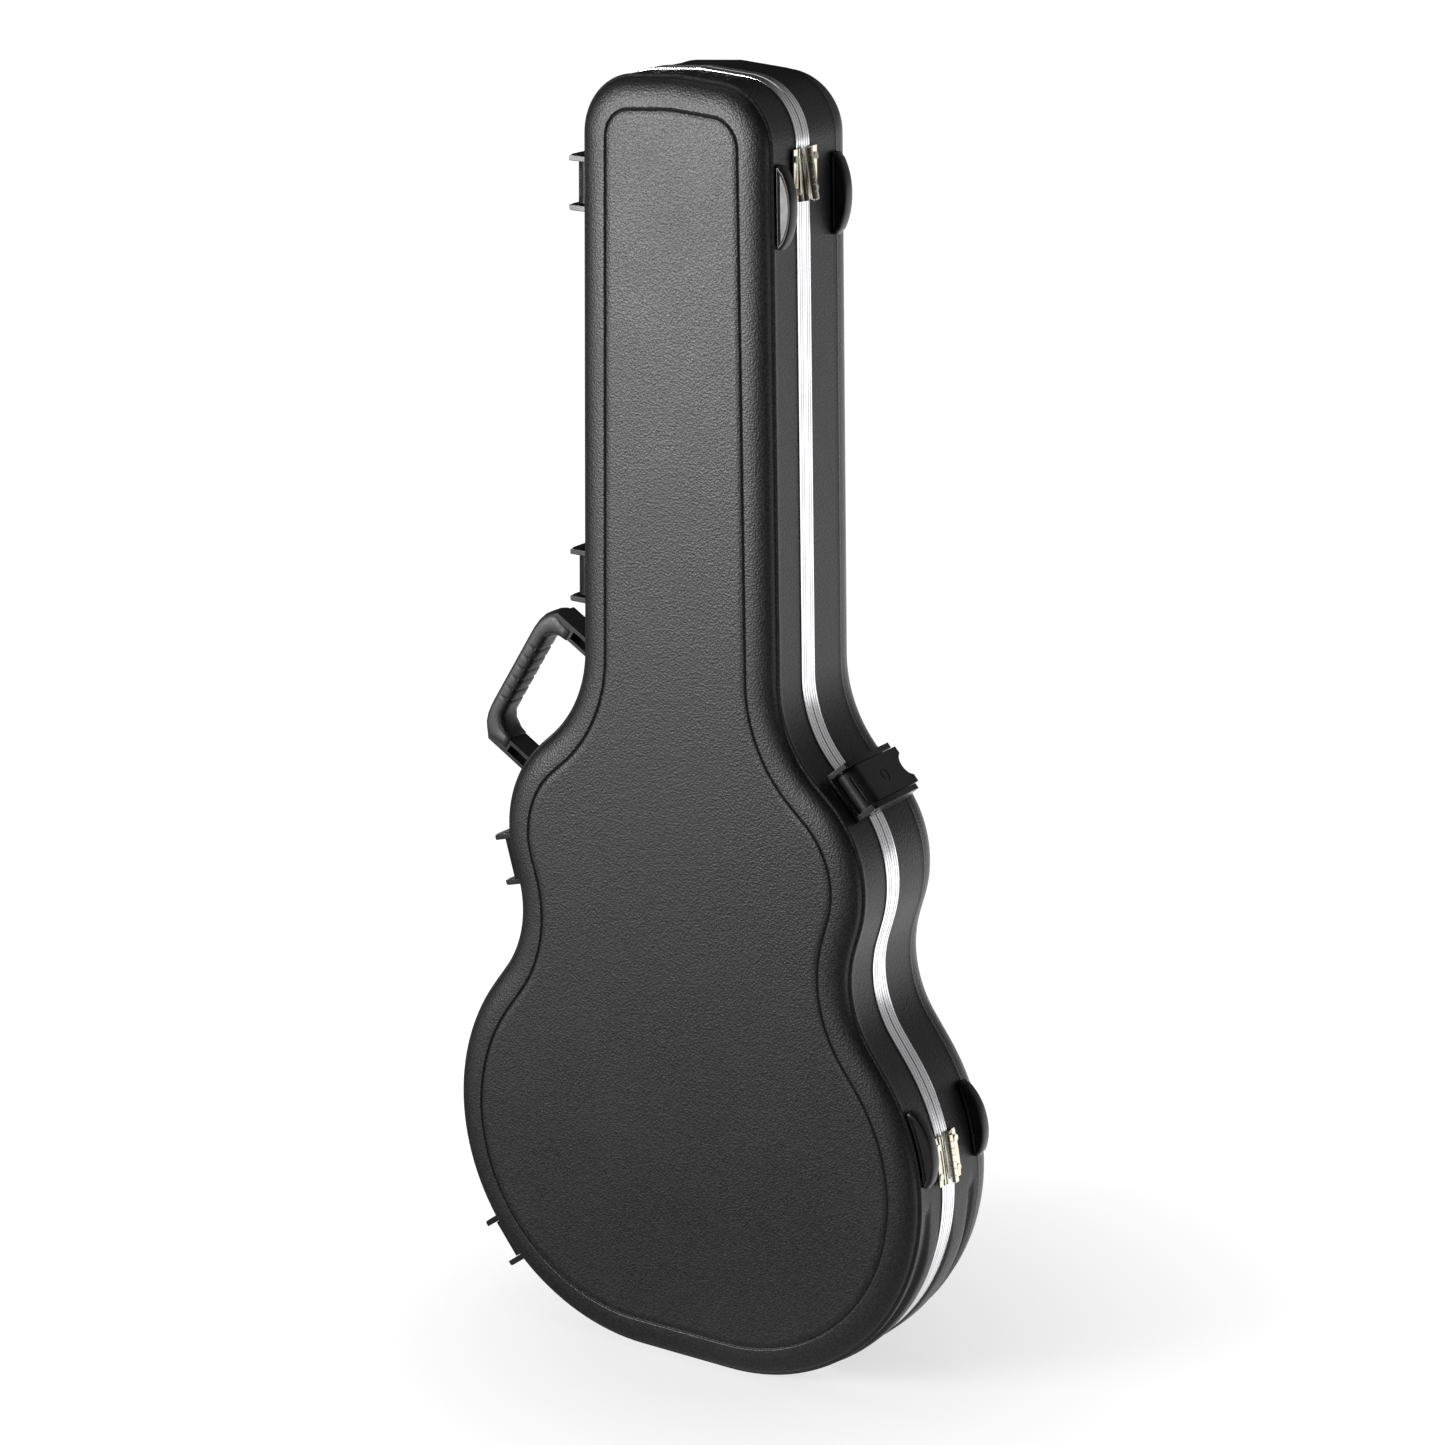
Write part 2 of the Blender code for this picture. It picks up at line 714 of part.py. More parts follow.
lean = math.radians(GRIP_LEAN)
along_grip = Vector((math.sin(lean), 0.0, math.cos(lean)))
out_grip = Vector((-math.cos(lean), 0.0, math.sin(lean)))
handle_turn = Matrix((along_grip, Y_AXIS * -1.0, out_grip)).transposed()
if handle_turn.determinant() < 0:
    handle_turn = Matrix((along_grip, Y_AXIS, out_grip)).transposed()
handle_frame = Matrix.Translation(HANDLE_MID + Vector((0.0, 0.0, RIM_LIFT))) @ handle_turn.to_4x4()
handle_pivot = pivot("handle_pivot", handle_frame.translation, handle_turn)


def both_ends(half):
    """A profile from its half at the positive end, mirrored."""
    return half + [(-along, out) for along, out in reversed(half)]


def chassis_profile(grow=0.0):
    """Side view of the handle's frame: two arms and a core bar, corners cut.
    It can be grown all round, to make room for itself."""
    outside = [
        (ARM_OUTER + grow, ARM_FOOT - grow),
        (ARM_OUTER + grow, ARM_CORNER),
        (0.0665 + grow, 0.0515 + grow),
        (0.0550 + grow / 2, 0.0566 + grow),
        (0.0450, CORE_TOP + grow),
    ]
    inside = [
        (0.0450, CORE_BOTTOM - grow),
        (0.0530 - grow, 0.0420 - grow),
        (ARM_INNER - grow, 0.0300),
        (ARM_INNER - grow, ARM_FOOT - grow),
    ]
    mirrored = [(-along, out) for along, out in outside]
    return outside + mirrored[::-1] + [(-along, out) for along, out in inside[::-1]] + inside


def grip_profile():
    """Side view of the overmould: it wraps the bar, both corners and the
    upper part of each arm, and leaves the arm's outer edge bare."""
    return both_ends(
        [
            (ARM_INNER - 0.0030, GRIP_FOOT),
            (ARM_OUTER - 0.0033, GRIP_FOOT),
            (ARM_OUTER - 0.0033, ARM_CORNER),
            (ARM_OUTER + 0.0002, ARM_CORNER + 0.0012),
            (0.0680, 0.0535),
            (0.0565, 0.0590),
            (0.0450, GRIP_TOP),
        ]
    ) + [
        (-ARM_INNER + 0.0040, 0.0330),
        (-0.0480, GRIP_BOTTOM - 0.0010),
        (-0.0430, GRIP_BOTTOM),
        (0.0430, GRIP_BOTTOM),
        (0.0480, GRIP_BOTTOM - 0.0010),
        (ARM_INNER - 0.0040, 0.0330),
    ]


chassis = add(
    "handle_chassis",
    prism("handle_chassis", chassis_profile(), -ARM_HALF, ARM_HALF, 1),
    NYLON,
    handle_frame,
    handle_pivot,
)
foot_round = [
    (-ARM_HALF, GRIP_TOP + 0.01),
    (-ARM_HALF, -0.0010),
    (-0.0075, ARM_FOOT),
    (0.0075, ARM_FOOT),
    (ARM_HALF, -0.0010),
    (ARM_HALF, GRIP_TOP + 0.01),
]
combine(chassis, prism("foot_round", foot_round, -ARM_OUTER - 0.01, ARM_OUTER + 0.01, 0), "INTERSECT")
grip = add(
    "handle_grip",
    prism("handle_grip", grip_profile(), -GRIP_HALF, GRIP_HALF, 1),
    RUBBER,
    handle_frame,
    handle_pivot,
)
grip_edge = grip.modifiers.new("edge", "BEVEL")
grip_edge.width = 0.0010
grip_edge.segments = 1
grip_edge.limit_method = "ANGLE"
grip_edge.angle_limit = math.radians(50)
cut(grip, prism("core_room", chassis_profile(FIT), -ARM_HALF - FIT, ARM_HALF + FIT, 1))

LUG_HALF = 0.0033
LUG_R = 0.0052
FOOT_BACK = 0.0380


def lug_profile(seat):
    """Side view of a bracket, seat being its height on the base's band."""
    round_top = []
    for k in range(7):
        angle = math.radians(-20 + 220 * k / 6)
        round_top.append((LUG_R * math.cos(angle), LUG_R * math.sin(angle)))
    return round_top + [
        (-0.0030, seat + RIM_INSET + 0.0035),
        (0.0100, seat + RIM_INSET + 0.0012),
        (0.0106, seat),
        (FOOT_BACK, seat),
        (FOOT_BACK, seat + 0.0030),
        (0.0150, seat + 0.0052),
    ]


for label, end in (("upper", 1.0), ("lower", -1.0)):
    middle = end * (SLOT_IN + SLOT_OUT) / 2
    slot = block(
        "arm_slot", (middle - 0.0038, -0.02, ARM_FOOT - 0.002), (middle + 0.0038, 0.02, SLOT_TOP)
    )
    cut(chassis, slot)
    inner, outer = middle - 0.0120, middle + 0.0120
    cut(chassis, rod("pin_bore", HANDLE_PIN_R + FIT, inner, outer, 0, 8))
    pivot_point = handle_frame @ Vector((middle, 0.0, 0.0))
    # The rim under the bracket, straight in from the pivot line.
    reaches = []
    for (d0, p0, n0), (d1, p1, n1) in zip(STATIONS, STATIONS[1:]):
        for k in range(8):
            d = d0 + (d1 - d0) * k / 8
            spot = rim_point(d, -RIM_INSET, 0.0, "left")
            reaches.append((abs((spot - pivot_point).dot(along_grip)), (spot - pivot_point).dot(out_grip)))
    near = [depth for miss, depth in reaches if miss < 0.012 and -0.05 < depth < 0.0]
    seat = max(near) + 0.0009
    bracket_name = f"handle_{label}_bracket"
    bracket = add(
        bracket_name,
        prism(bracket_name, lug_profile(seat), middle - LUG_HALF, middle + LUG_HALF, 0),
        NYLON,
        handle_frame,
    )
    foot = block(
        "foot", (middle - 0.0110, 0.0125, seat + 0.0002), (middle + 0.0110, FOOT_BACK - 0.002, seat + 0.0025)
    )
    fuse(bracket, foot)
    cut(bracket, rod("pin_bore", HANDLE_PIN_R + FIT, inner, outer, 0, 8))
    head = end * ARM_OUTER
    pin_low, pin_high = sorted((end * (ARM_INNER - 0.0006), head + end * 0.0006))
    pin_name = f"handle_{label}_pin"
    pin = add(pin_name, rod(pin_name, HANDLE_PIN_R, pin_low, pin_high, 0, 8), NYLON, handle_frame)
    knob_low, knob_high = sorted((head + end * 0.0004, head + end * (0.0004 + KNOB[1])))
    fuse(pin, rod("knob", KNOB[0], knob_low, knob_high, 0, 10))
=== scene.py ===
import json
import math

import bmesh
import bpy
from mathutils import Matrix, Vector


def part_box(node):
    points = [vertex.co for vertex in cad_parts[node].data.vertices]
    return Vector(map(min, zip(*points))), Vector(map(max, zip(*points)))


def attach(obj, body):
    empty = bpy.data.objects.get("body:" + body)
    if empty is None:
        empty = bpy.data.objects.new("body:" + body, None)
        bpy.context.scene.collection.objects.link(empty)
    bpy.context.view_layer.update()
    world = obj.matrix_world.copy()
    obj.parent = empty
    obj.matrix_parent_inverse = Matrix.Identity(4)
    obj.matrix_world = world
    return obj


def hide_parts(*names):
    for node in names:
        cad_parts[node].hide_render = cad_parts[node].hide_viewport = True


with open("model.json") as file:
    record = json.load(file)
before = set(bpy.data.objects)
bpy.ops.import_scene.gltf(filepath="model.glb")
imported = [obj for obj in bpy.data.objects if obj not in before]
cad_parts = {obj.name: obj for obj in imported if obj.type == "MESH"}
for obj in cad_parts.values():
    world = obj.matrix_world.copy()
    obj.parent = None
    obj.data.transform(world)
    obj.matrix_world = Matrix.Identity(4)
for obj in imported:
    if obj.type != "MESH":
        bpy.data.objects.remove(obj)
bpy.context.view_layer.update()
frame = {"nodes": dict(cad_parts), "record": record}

# ---------------------------------------------------------------- driving sizes
# The case is drawn about its seam plane and centreline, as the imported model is.
BASE_FACE_Y = 0.0838
LID_FACE_Y = -0.0537
BASE_RIDGE_Y = 0.0528
LID_RIDGE_Y = -0.0442
RIM_EDGE_Y = 0.0086  # where the shells end under the valances
RIM_LIFT = 0.0015  # the rim's bottom stands this far off the floor
shell_low, shell_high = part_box("base_shell")
SHIFT = Vector(((shell_low.x + shell_high.x) / 2, shell_high.y - BASE_FACE_Y, 0.0))

# Half of the rim, from the bottom centre to the top one: a line's length, or
# an arc's radius and the degrees it turns. The last line to the centre follows.
OUTLINE = [
    ("line", 0.0471),
    ("arc", 0.1960, 58.14),
    ("arc", 0.1973, 68.02),
    ("line", 0.0240),
    ("arc", 0.0973, -52.55),
    ("line", 0.0172),
    ("arc", 0.1094, 64.36),
    ("line", 0.0173),
    ("arc", 0.1091, -47.13),
    ("line", 0.4465),
    ("arc", 0.0544, 85.11),
]
ARC_STEP = 2.6  # degrees
LINE_STEP = 0.012
TOP_STEPS = 5

BEAD_END = 0.352  # the bead and the channel beside it stop here
CHANNEL_DEPTH = 0.0027
WALL = 0.003
SHELL_SET_IN = 0.0015  # the shells' walls stand in this far from the rim
RIM_TRIM = 0.0003  # the fine rim keeps inside the faceted one's box
SHOULDER = 0.0238  # how far the rounded shoulder reaches in
SHOULDER_INSET = 0.0021
LINER_SKIN = 0.0036  # from the shell's outside to the lining's back
CHAMFER_SIDE, CHAMFER_DEEP = 0.0114, 0.0186  # what stands in the neck clears the shoulder

Y_AXIS = Vector((0.0, 1.0, 0.0))


# ---------------------------------------------------------------- the outline
def walk_outline():
    """The right half of the rim as (distance, point, normal), finely stepped."""
    stations = []
    x, z, heading, travelled = 0.0, RIM_LIFT, 0.0, 0.0

    def note(px, pz, angle, distance):
        normal = Vector((math.sin(angle), 0.0, -math.cos(angle)))
        stations.append((distance, Vector((px, 0.0, pz)), normal))

    note(x, z, heading, 0.0)
    for kind, size, *turned in OUTLINE:
        if kind == "line":
            steps = max(1, round(size / LINE_STEP))
            for k in range(1, steps + 1):
                along = size * k / steps
                px, pz = x + along * math.cos(heading), z + along * math.sin(heading)
                note(px, pz, heading, travelled + along)
            x += size * math.cos(heading)
            z += size * math.sin(heading)
            travelled += size
            continue
        turn = math.radians(turned[0])
        side = math.copysign(1.0, turn)
        cx = x - side * size * math.sin(heading)
        cz = z + side * size * math.cos(heading)
        steps = max(2, round(abs(turned[0]) / ARC_STEP))
        for k in range(1, steps + 1):
            angle = heading + turn * k / steps
            px = cx + side * size * math.sin(angle)
            pz = cz - side * size * math.cos(angle)
            note(px, pz, angle, travelled + size * abs(turn) * k / steps)
        heading += turn
        travelled += size * abs(turn)
        x, z = px, pz
    top = -x / math.cos(heading)
    for k in range(1, TOP_STEPS):
        px = x + top * math.cos(heading) * k / TOP_STEPS
        pz = z + top * math.sin(heading) * k / TOP_STEPS
        note(px, pz, heading, travelled + top * k / TOP_STEPS)
    note(0.0, z + top * math.sin(heading), math.pi, travelled + top)
    return stations


STATIONS = walk_outline()


def rim_point(distance, out=0.0):
    """A point in the seam plane, standing out from the right side of the rim."""
    for (d0, p0, n0), (d1, p1, n1) in zip(STATIONS, STATIONS[1:]):
        if d0 <= distance <= d1:
            part = (distance - d0) / (d1 - d0)
            return p0.lerp(p1, part) + n0.lerp(n1, part).normalized() * out + SHIFT
    raise ValueError("distance past the end of the outline")


def smooth(edge0, edge1, value):
    """0 at edge0 and 1 at edge1, with soft ends."""
    part = min(1.0, max(0.0, (value - edge0) / (edge1 - edge0)))
    return part * part * (3 - 2 * part)


def bead_rise(distance):
    """1 where the bead stands full along the bottom, 0 above its end."""
    return smooth(BEAD_END - 0.006, BEAD_END - 0.058, distance)


def channel(distance):
    """1 where the channel behind the bead is cut, with a short run-out."""
    return smooth(BEAD_END + 0.003, BEAD_END - 0.007, distance)


def ring(place):
    """A closed loop round the case; place gives (out, y) at a distance."""
    half = []
    for distance, point, normal in STATIONS:
        out, y = place(distance)
        p = point + normal * out
        half.append(Vector((p.x, y, p.z)) + SHIFT)
    mirrored = [Vector((2 * SHIFT.x - p.x, p.y, p.z)) for p in reversed(half[1:-1])]
    return half + mirrored


# ---------------------------------------------------------------- mesh helpers
def link(name, mesh, finish, body, sharp=35.0, frame_at=None):
    """Puts a finished mesh in the scene, riding a body."""
    piece = bpy.data.objects.new(name, mesh)
    bpy.context.scene.collection.objects.link(piece)
    if frame_at is not None:
        piece.matrix_world = frame_at
        bpy.context.view_layer.update()
    mesh.materials.clear()
    mesh.materials.append(finish)
    mesh.shade_smooth()
    mesh.set_sharp_from_angle(angle=math.radians(sharp))
    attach(piece, body)
    return piece


def to_mesh(name, bm):
    bmesh.ops.recalc_face_normals(bm, faces=bm.faces)
    mesh = bpy.data.meshes.new(name)
    bm.to_mesh(mesh)
    bm.free()
    return mesh


def loft(name, loops, closed=False):
    """Joins loops of points in order, and caps the ends or closes the chain."""
    bm = bmesh.new()
    rings = [[bm.verts.new(p) for p in loop] for loop in loops]
    pairs = list(zip(rings, rings[1:]))
    if closed:
        pairs.append((rings[-1], rings[0]))
    for low, high in pairs:
        for i in range(len(low)):
            j = (i + 1) % len(low)
            bm.faces.new((low[i], low[j], high[j], high[i]))
    if not closed:
        bm.faces.new(list(reversed(rings[0])))
        bm.faces.new(rings[-1])
    return to_mesh(name, bm)


def prism(name, profile, low, high, axis):
    """Pushes a flat profile along one axis from low to high."""
    others = [k for k in range(3) if k != axis]

    def point(pair, along):
        p = [0.0, 0.0, 0.0]
        p[axis] = along
        p[others[0]], p[others[1]] = pair
        return p

    return loft(name, [[point(q, low) for q in profile], [point(q, high) for q in profile]])


def inset_loop(points, inset):
    """Moves each point of a closed flat outline inwards."""
    area = sum(a[0] * b[1] - b[0] * a[1] for a, b in zip(points, points[1:] + points[:1]))
    side = math.copysign(1.0, area)
    moved = []
    for k, (x, y) in enumerate(points):
        ax, ay = points[k - 1]
        bx, by = points[(k + 1) % len(points)]
        dx, dy = bx - ax, by - ay
        size = math.hypot(dx, dy) or 1.0
        moved.append((x - side * dy / size * inset, y + side * dx / size * inset))
    return moved


def arc_points(cx, cy, rx, ry, start, end, steps):
    """Points along part of an ellipse, angles in degrees."""
    turn = [math.radians(start + (end - start) * k / steps) for k in range(steps + 1)]
    return [(cx + rx * math.cos(t), cy + ry * math.sin(t)) for t in turn]


def bevel(piece, width, angle):
    edge = piece.modifiers.new("edge", "BEVEL")
    edge.width = width
    edge.segments = 2
    edge.limit_method = "ANGLE"
    edge.angle_limit = math.radians(angle)
    edge.harden_normals = True


def boolean(piece, tool, operation="DIFFERENCE"):
    """Joins or cuts with a tool object, which goes, and applies the result."""
    step = piece.modifiers.new("join", "BOOLEAN")
    step.operation = operation
    step.solver = "EXACT"
    step.object = tool
    bpy.context.view_layer.update()
    depsgraph = bpy.context.evaluated_depsgraph_get()
    shape = bpy.data.meshes.new_from_object(piece.evaluated_get(depsgraph))
    piece.modifiers.clear()
    piece.data = shape
    bpy.data.objects.remove(tool, do_unlink=True)


def loose(name, mesh):
    """An object that is only worked on, and doesn't stay in the scene."""
    piece = bpy.data.objects.new(name, mesh)
    bpy.context.scene.collection.objects.link(piece)
    return piece


def keep_mesh(piece):
    mesh = piece.data
    bpy.data.objects.remove(piece, do_unlink=True)
    return mesh


# ---------------------------------------------------------------- materials
def map_range(tree, value, near, far, low, high, kind="LINEAR"):
    """Stretches a value from near..far to low..high."""
    node = tree.nodes.new("ShaderNodeMapRange")
    node.interpolation_type = kind
    node.inputs["From Min"].default_value = near
    node.inputs["From Max"].default_value = far
    node.inputs["To Min"].default_value = low
    node.inputs["To Max"].default_value = high
    tree.links.new(value, node.inputs["Value"])
    return node.outputs["Result"]


class Nodes:
    """A material and its shader nodes, all placed by object coordinates."""

    def __init__(self, name, colour, roughness, metallic=0.0, **settings):
        self.made = bpy.data.materials.new(name)
        self.made.use_nodes = True
        self.tree = self.made.node_tree
        self.surface = self.tree.nodes["Principled BSDF"]
        self.surface.inputs["Base Color"].default_value = (*colour, 1.0)
        self.surface.inputs["Roughness"].default_value = roughness
        self.surface.inputs["Metallic"].default_value = metallic
        for key, value in settings.items():
            self.surface.inputs[key.replace("_", " ")].default_value = value
        self.place = self.add("ShaderNodeTexCoord").outputs["Object"]

    def add(self, kind, **settings):
        node = self.tree.nodes.new(kind)
        for key, value in settings.items():
            if key in node.inputs:
                node.inputs[key].default_value = value
            else:
                setattr(node, key, value)
        return node

    def join(self, source, target):
        self.tree.links.new(source, target)

    def noise(self, scale, detail=3.0, roughness=0.55, stretch=None):
        node = self.add("ShaderNodeTexNoise", Scale=scale, Detail=detail, Roughness=roughness)
        source = self.place
        if stretch:
            mapping = self.add("ShaderNodeMapping")
            mapping.inputs["Scale"].default_value = stretch
            self.join(source, mapping.inputs["Vector"])
            source = mapping.outputs["Vector"]
        self.join(source, node.inputs["Vector"])
        return node.outputs["Fac"]

    def cells(self, scale):
        node = self.add("ShaderNodeTexVoronoi", feature="F1", Scale=scale)
        self.join(self.place, node.inputs["Vector"])
        return node.outputs["Distance"]

    def spread(self, value, low, high):
        return map_range(self.tree, value, 0.3, 0.7, low, high)

    def math(self, operation, a, b):
        node = self.add("ShaderNodeMath", operation=operation)
        for socket, value in zip(node.inputs, (a, b)):
            if isinstance(value, (int, float)):
                socket.default_value = value
            else:
                self.join(value, socket)
        return node.outputs["Value"]

    def colour(self, value, low, high, from_low=0.3, from_high=0.7):
        ramp = self.add("ShaderNodeValToRGB")
        ramp.color_ramp.elements[0].position = from_low
        ramp.color_ramp.elements[0].color = (*low, 1.0)
        ramp.color_ramp.elements[1].position = from_high
        ramp.color_ramp.elements[1].color = (*high, 1.0)
        self.join(value, ramp.inputs["Fac"])
        self.join(ramp.outputs["Color"], self.surface.inputs["Base Color"])

    def rough(self, value):
        self.join(value, self.surface.inputs["Roughness"])

    def bump(self, height, strength, distance):
        node = self.add("ShaderNodeBump")
        node.inputs["Strength"].default_value = strength
        node.inputs["Distance"].default_value = distance
        self.join(height, node.inputs["Height"])
        self.join(node.outputs["Normal"], self.surface.inputs["Normal"])


def abs_plastic():
    """Charcoal moulded ABS with a fine pebble grain."""
    m = Nodes("abs_pebble", (0.014, 0.014, 0.0145), 0.44, Specular_IOR_Level=0.38)
    pebble = m.cells(520.0)
    fine = m.noise(700.0, 2.0, stretch=(0.7, 1.0, 1.0))
    broad = m.noise(9.0, 4.0)
    tone = m.noise(430.0, 3.0, stretch=(0.8, 1.0, 1.0))
    m.colour(tone, (0.0070, 0.0070, 0.0075), (0.0175, 0.0175, 0.0188), 0.36, 0.66)
    m.rough(m.math("ADD", m.spread(broad, -0.025, 0.025), m.spread(fine, 0.37, 0.49)))
    height = m.math("ADD", m.math("MULTIPLY", pebble, 0.6), m.math("MULTIPLY", fine, 0.4))
    m.bump(height, 0.42, 0.0008)
    return m.made


def nylon():
    """Smooth black moulded nylon, faintly uneven."""
    shade, gloss = 0.011, 0.30
    m = Nodes("nylon_black", (shade, shade, shade * 1.05), gloss, Specular_IOR_Level=0.38)
    m.colour(m.noise(60.0, 4.0), (shade * 0.8,) * 3, (shade * 1.3, shade * 1.3, shade * 1.35))
    m.rough(m.spread(m.noise(70.0, 3.0), gloss - 0.03, gloss + 0.06))
    m.bump(m.noise(90.0, 2.0), 0.04, 0.00005)
    return m.made


def grip_rubber():
    """Soft black overmould with a dull, fine-grained surface."""
    m = Nodes("grip_rubber", (0.02, 0.02, 0.021), 0.5)
    m.colour(m.noise(300.0, 3.0), (0.016, 0.016, 0.0165), (0.028, 0.028, 0.029))
    m.rough(m.spread(m.noise(240.0, 3.0), 0.42, 0.56))
    m.bump(m.noise(1500.0, 2.0), 0.25, 0.0003)
    return m.made


def aluminium():
    """Bright satin extruded aluminium, faintly uneven."""
    m = Nodes("valance_aluminium", (0.86, 0.86, 0.88), 0.3, 1.0)
    m.colour(m.noise(30.0, 4.0), (0.84, 0.84, 0.86), (0.93, 0.93, 0.95))
    m.rough(m.spread(m.noise(40.0, 3.0), 0.22, 0.30))
    m.bump(m.noise(60.0, 2.0), 0.03, 0.00005)
    return m.made


def nickel():
    """Warm nickel plating with faint tarnish."""
    m = Nodes("nickel_plate", (0.80, 0.76, 0.66), 0.16, 1.0)
    m.colour(m.noise(80.0, 4.0), (0.60, 0.55, 0.43), (0.86, 0.83, 0.75))
    m.rough(m.spread(m.noise(90.0, 3.0), 0.14, 0.22))
    m.bump(m.noise(120.0, 2.0), 0.04, 0.00005)
    return m.made


def plush(name, low, high, scale=900.0):
    """Short-pile plush: soft sheen over a crushed nap."""
    m = Nodes(name, low, 0.95, Sheen_Weight=0.6, Sheen_Roughness=0.45)
    nap = m.noise(30.0, 5.0)
    pile = m.noise(scale, 3.0)
    m.colour(m.math("ADD", m.math("MULTIPLY", nap, 0.6), m.math("MULTIPLY", pile, 0.4)), low, high)
    m.rough(m.spread(nap, 0.86, 0.98))
    m.bump(pile, 0.5, 0.0010)
    return m.made


def ribbon():
    """Woven ribbon, ribbed across its length."""
    m = Nodes("pull_ribbon", (0.02, 0.02, 0.022), 0.8, Sheen_Weight=0.3, Sheen_Roughness=0.4)
    ribs = m.add("ShaderNodeTexWave", wave_type="BANDS", bands_direction="Z", Scale=320.0, Distortion=0.6)
    m.join(m.place, ribs.inputs["Vector"])
    m.colour(ribs.outputs["Fac"], (0.012, 0.012, 0.013), (0.034, 0.034, 0.037))
    m.rough(m.spread(m.noise(400.0, 3.0), 0.7, 0.85))
    m.bump(ribs.outputs["Fac"], 0.5, 0.0004)
    return m.made


ABS = abs_plastic()
NYLON = nylon()
RUBBER = grip_rubber()
ALUMINIUM = aluminium()
NICKEL = nickel()
PLUSH = plush("plush_charcoal", (0.028, 0.028, 0.031), (0.075, 0.075, 0.082))
FOAM = plush("cradle_plush", (0.034, 0.034, 0.037), (0.085, 0.085, 0.092), 700.0)
RIBBON = ribbon()


# ---------------------------------------------------------------- shells
def shell_profile(sign, ridge_y, face_y, bead, crest):
    """The outer skin from the free edge to the face, as (out, y) rules. The
    crest scales how far the ridge's rolled edge stands in."""
    depth = abs(ridge_y)
    face = abs(face_y)
    b0, b1 = bead

    def rule(y, out=-SHELL_SET_IN, bead_out=0.0, cut=0.0):
        def place(distance):
            bead_part = bead_out * bead_rise(distance)
            return out + bead_part - cut * CHANNEL_DEPTH * channel(distance), sign * y

        return place

    rules = [
        rule(RIM_EDGE_Y),
        rule(0.0106, bead_out=0.0003),
        rule(0.0118, bead_out=0.0014),
        rule(0.0132, bead_out=0.0025),
        rule(b0 + 0.0020, bead_out=0.0029),
        rule(b0 + 0.4 * (b1 - b0), bead_out=0.0030),
        rule(b0 + 0.7 * (b1 - b0), bead_out=0.0030),
        rule(b1 - 0.0030, bead_out=0.0027),
        rule(b1 - 0.0014, bead_out=0.0018, cut=0.05),
        rule(b1 - 0.0002, bead_out=0.0006, cut=0.35),
        rule(b1 + 0.0010, cut=0.80),
        rule(b1 + 0.0024, cut=1.0),
        rule(b1 + 0.0046, cut=1.0),
        rule(b1 + 0.0060, cut=0.80),
        rule(b1 + 0.0070, cut=0.35),
        rule(b1 + 0.0080, cut=0.05),
        rule(depth - 0.0036),
        rule(depth - 0.0022, -0.0013),
        rule(depth - 0.0012, -0.0010),
        rule(depth - 0.0004, -0.0012),
        rule(depth, -0.0010 - 0.0009 * crest),
        rule(depth + 0.0003, -0.0010 - 0.0020 * crest),
        rule(depth + 0.0009, -0.0010 - 0.0030 * crest),
    ]
    # the shoulder, a quarter ellipse from just above its foot to the face
    start, centre, rise = 0.0010 + 0.0033 * crest, 0.0270, depth + 0.0014
    foot, steps = 4, 12
    for k in range(steps + 1):
        angle = math.radians(foot + (90 - foot) * k / steps)
        width = math.cos(angle) / math.cos(math.radians(foot))
        inset = centre - (centre - start) * width
        rules.append(rule(rise + (face - rise) * math.sin(angle), -inset))
    # the pressed line round the face
    for inset, y in (
        (0.0276, 0.0),
        (0.0281, -0.0003),
        (0.0286, -0.0010),
        (0.0291, -0.0013),
        (0.0296, -0.0010),
        (0.0301, -0.0003),
        (0.0307, 0.0),
        (0.0360, 0.0),
    ):
        rules.append(rule(face + y, -inset))
    return rules


def inner_profile(sign, ridge_y, face_y, wall, steps=8):
    """Inside of the shell, wall deep under the outer skin."""
    reach = SHOULDER - wall
    rise = abs(face_y) - abs(ridge_y) - wall
    rules = [lambda d: (-SHELL_SET_IN - wall, sign * RIM_EDGE_Y)]
    for k in range(steps + 1):
        angle = math.pi / 2 * k / steps
        out = -(SHOULDER_INSET + SHOULDER) + reach * math.cos(angle)
        rules.append(lambda d, o=out, y=abs(ridge_y) + rise * math.sin(angle): (o, sign * y))
    return rules


def shell_skin(name, node, body, sign, ridge_y, face_y, bead, crest):
    """A shell's outside and inside as one skin."""
    outer = [ring(r) for r in shell_profile(sign, ridge_y, face_y, bead, crest)]
    inner = [ring(r) for r in inner_profile(sign, ridge_y, face_y, WALL)]
    mesh = loft(name, list(reversed(inner)) + outer)
    skin = link(name, mesh, ABS, body, 50)
    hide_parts(node)


LID_BEAD, BASE_BEAD = (0.0130, 0.0290), (0.0130, 0.0370)
shell_skin("lid_shell_skin", "lid_shell", "lid", -1.0, LID_RIDGE_Y, LID_FACE_Y, LID_BEAD, 1.0)
shell_skin("base_shell_skin", "base_shell", "base", 1.0, BASE_RIDGE_Y, BASE_FACE_Y, BASE_BEAD, 0.5)


